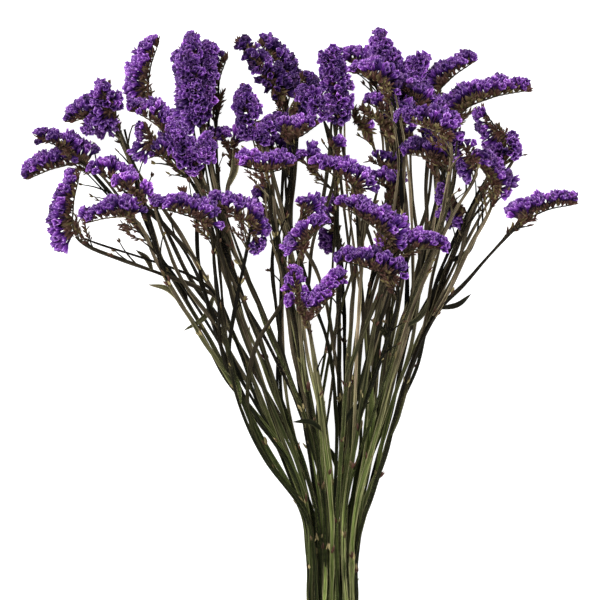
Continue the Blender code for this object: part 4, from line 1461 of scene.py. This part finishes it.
class StageSettings(bpy.types.PropertyGroup):
    """Floor, light and camera"""

    view_width: measure("View", "Width that the picture takes in", 0.51)
    camera_height: measure("Camera height", "Camera over the floor", 8.0)
    key_power: measure("Key light", "Power of the light over the bunch", 72.0, "POWER")
    sky: measure("Sky", "Strength of the light from all round", 0.09, "NONE")
    floor_glow: measure("Floor glow", "How much the floor glows", 0.95, "NONE")
    floor_colour: colour("Floor", "The plain floor", (0.4, 0.4, 0.4))


class StaticeSettings(bpy.types.PropertyGroup):
    """Everything that can be set on the bunch"""

    flowers: PointerProperty(name="Flowers", description="Calyces and bracts", type=FlowerSettings)
    stems: PointerProperty(name="Stems", description="Winged stems and leaves", type=StemSettings)
    tie: PointerProperty(name="Tie", description="Twine round the stems", type=TieSettings)
    stage: PointerProperty(name="Stage", description="Floor, light and camera", type=StageSettings)


class STATICE_OT_flower_heads(bpy.types.Operator):
    """Papery calyces on every spike, one piece for each flower head"""

    bl_idname = "statice.flower_heads"
    bl_label = "Flower heads"

    def execute(self, context):
        flowers = context.scene.statice.flowers
        finish = papery_calyx(flowers)
        shapes = calyx_shapes()
        for name, spray in SPRAYS.items():
            for head in spray.heads:
                mesh = flower_head(name, head, shapes, flowers)
                nodes = [f"calyces_{name}{head.name}"] if (name, head) in SOLID_HEADS else []
                piece(mesh, f"flowers_{name}{head.name}", finish, nodes)
        for shape in shapes:
            bpy.data.meshes.remove(shape)
        return {"FINISHED"}


class STATICE_OT_bracts(bpy.types.Operator):
    """Pointed bracts under the calyces, at the tips and forks and on the twigs, one piece for each spray"""

    bl_idname = "statice.bracts"
    bl_label = "Bracts"

    def execute(self, context):
        flowers = context.scene.statice.flowers
        finish = dry_bract(flowers)
        shape = bract_shape()
        for name, spray in SPRAYS.items():
            chance = random.Random(f"bract spin {name}")
            mesh = fresh_mesh()
            places = [place for head in spray.heads for place in bracts_of(name, head, flowers)]
            places += fork_bracts(name) + twig_tufts(name, chance)
            copies = []
            for root, way, length, width, tint in places:
                matrix = standing(root, way, length, width, chance.uniform(*ANY_TURN))
                copies.append((shape, matrix, tint, Vector((chance.uniform(*PATTERN_SHIFT), 0, 0))))
            stamp_all(mesh, copies)
            piece(mesh, f"bracts_{name}", finish)
        bpy.data.meshes.remove(shape)
        return {"FINISHED"}


class STATICE_OT_stems(bpy.types.Operator):
    """Winged stems with branches, twigs and leaves, one piece for each spray, and the strands between"""

    bl_idname = "statice.stems"
    bl_label = "Stems and leaves"

    def execute(self, context):
        stems = context.scene.statice.stems
        finish = winged_green(stems)
        for name in SPRAYS:
            piece(spray_stems(name, stems), f"stems_{name}", finish, [f"stem_{name}"])
        strands = {layer: fresh_mesh() for layer in LAYERS}
        chance = random.Random("strand wings")
        for layer, route in strand_routes(stems.strands):
            reach = stems.branch_wing / MM * chance.uniform(0.6, 1.05)
            tint = chance.uniform(0.1, 0.9)
            winged_stem(strands[layer], route, route.length, reach, reach * THINNED, chance, tint)
        for layer, mesh in strands.items():
            piece(mesh, f"strands_{layer}", finish)
        return {"FINISHED"}


class STATICE_OT_twine_tie(bpy.types.Operator):
    """Three turns of twisted twine round the stems, with a knot on top"""

    bl_idname = "statice.twine_tie"
    bl_label = "Twine tie"

    def execute(self, context):
        tie = context.scene.statice.tie
        thickness = tie.thickness / MM
        mesh = fresh_mesh()
        twisted_twine(mesh, twine_path(thickness), thickness, Vector((0, 1, 0)))
        for points in twine_knot(thickness):
            twisted_twine(mesh, points, thickness, Vector((1, 0.2, 0.1)))
        piece(mesh, "twine", jute_twine(tie), ["twine_tie"])
        return {"FINISHED"}


class STATICE_OT_stage(bpy.types.Operator):
    """Plain pale floor, soft light and the camera that looks straight down"""

    bl_idname = "statice.stage"
    bl_label = "Floor, light and camera"

    def execute(self, context):
        stage = context.scene.statice.stage
        surface = placed("floor", floor_data(stage))
        for name, spot, size, share in LIGHTS:
            light_up(name, spot, size, stage.key_power * share)
        context.scene.world = white_room(stage)
        context.scene.camera = camera_above(stage)
        context.scene.view_settings.view_transform = "Standard"
        return {"FINISHED"}


class STATICE_PT_bunch(bpy.types.Panel):
    """The bunch's settings and the operators that make it"""

    bl_idname = "STATICE_PT_bunch"
    bl_label = "Dried statice"
    bl_space_type = "VIEW_3D"
    bl_region_type = "UI"
    bl_category = "Statice"

    def draw(self, context):
        settings = context.scene.statice
        for name, operators in PARTS.items():
            box = self.layout.box()
            group = getattr(settings, name)
            for setting in group.bl_rna.properties:
                if setting.identifier not in ("rna_type", "name"):
                    box.prop(group, setting.identifier)
            for operator in operators:
                box.operator(operator.bl_idname)


PARTS = {
    "flowers": (STATICE_OT_flower_heads, STATICE_OT_bracts),
    "stems": (STATICE_OT_stems,),
    "tie": (STATICE_OT_twine_tie,),
    "stage": (STATICE_OT_stage,),
}
CLASSES = (
    FlowerSettings, StemSettings, TieSettings, StageSettings, StaticeSettings,
    STATICE_OT_flower_heads, STATICE_OT_bracts, STATICE_OT_stems, STATICE_OT_twine_tie, STATICE_OT_stage,
    STATICE_PT_bunch,
)


def register():
    for kind in CLASSES:
        bpy.utils.register_class(kind)
    bpy.types.Scene.statice = PointerProperty(type=StaticeSettings)


def unregister():
    del bpy.types.Scene.statice
    for kind in reversed(CLASSES):
        bpy.utils.unregister_class(kind)


def main():
    register()
    bpy.ops.statice.stage()
    bpy.ops.statice.twine_tie()
    bpy.ops.statice.stems()
    bpy.ops.statice.bracts()
    bpy.ops.statice.flower_heads()


if __name__ == "__main__":
    main()
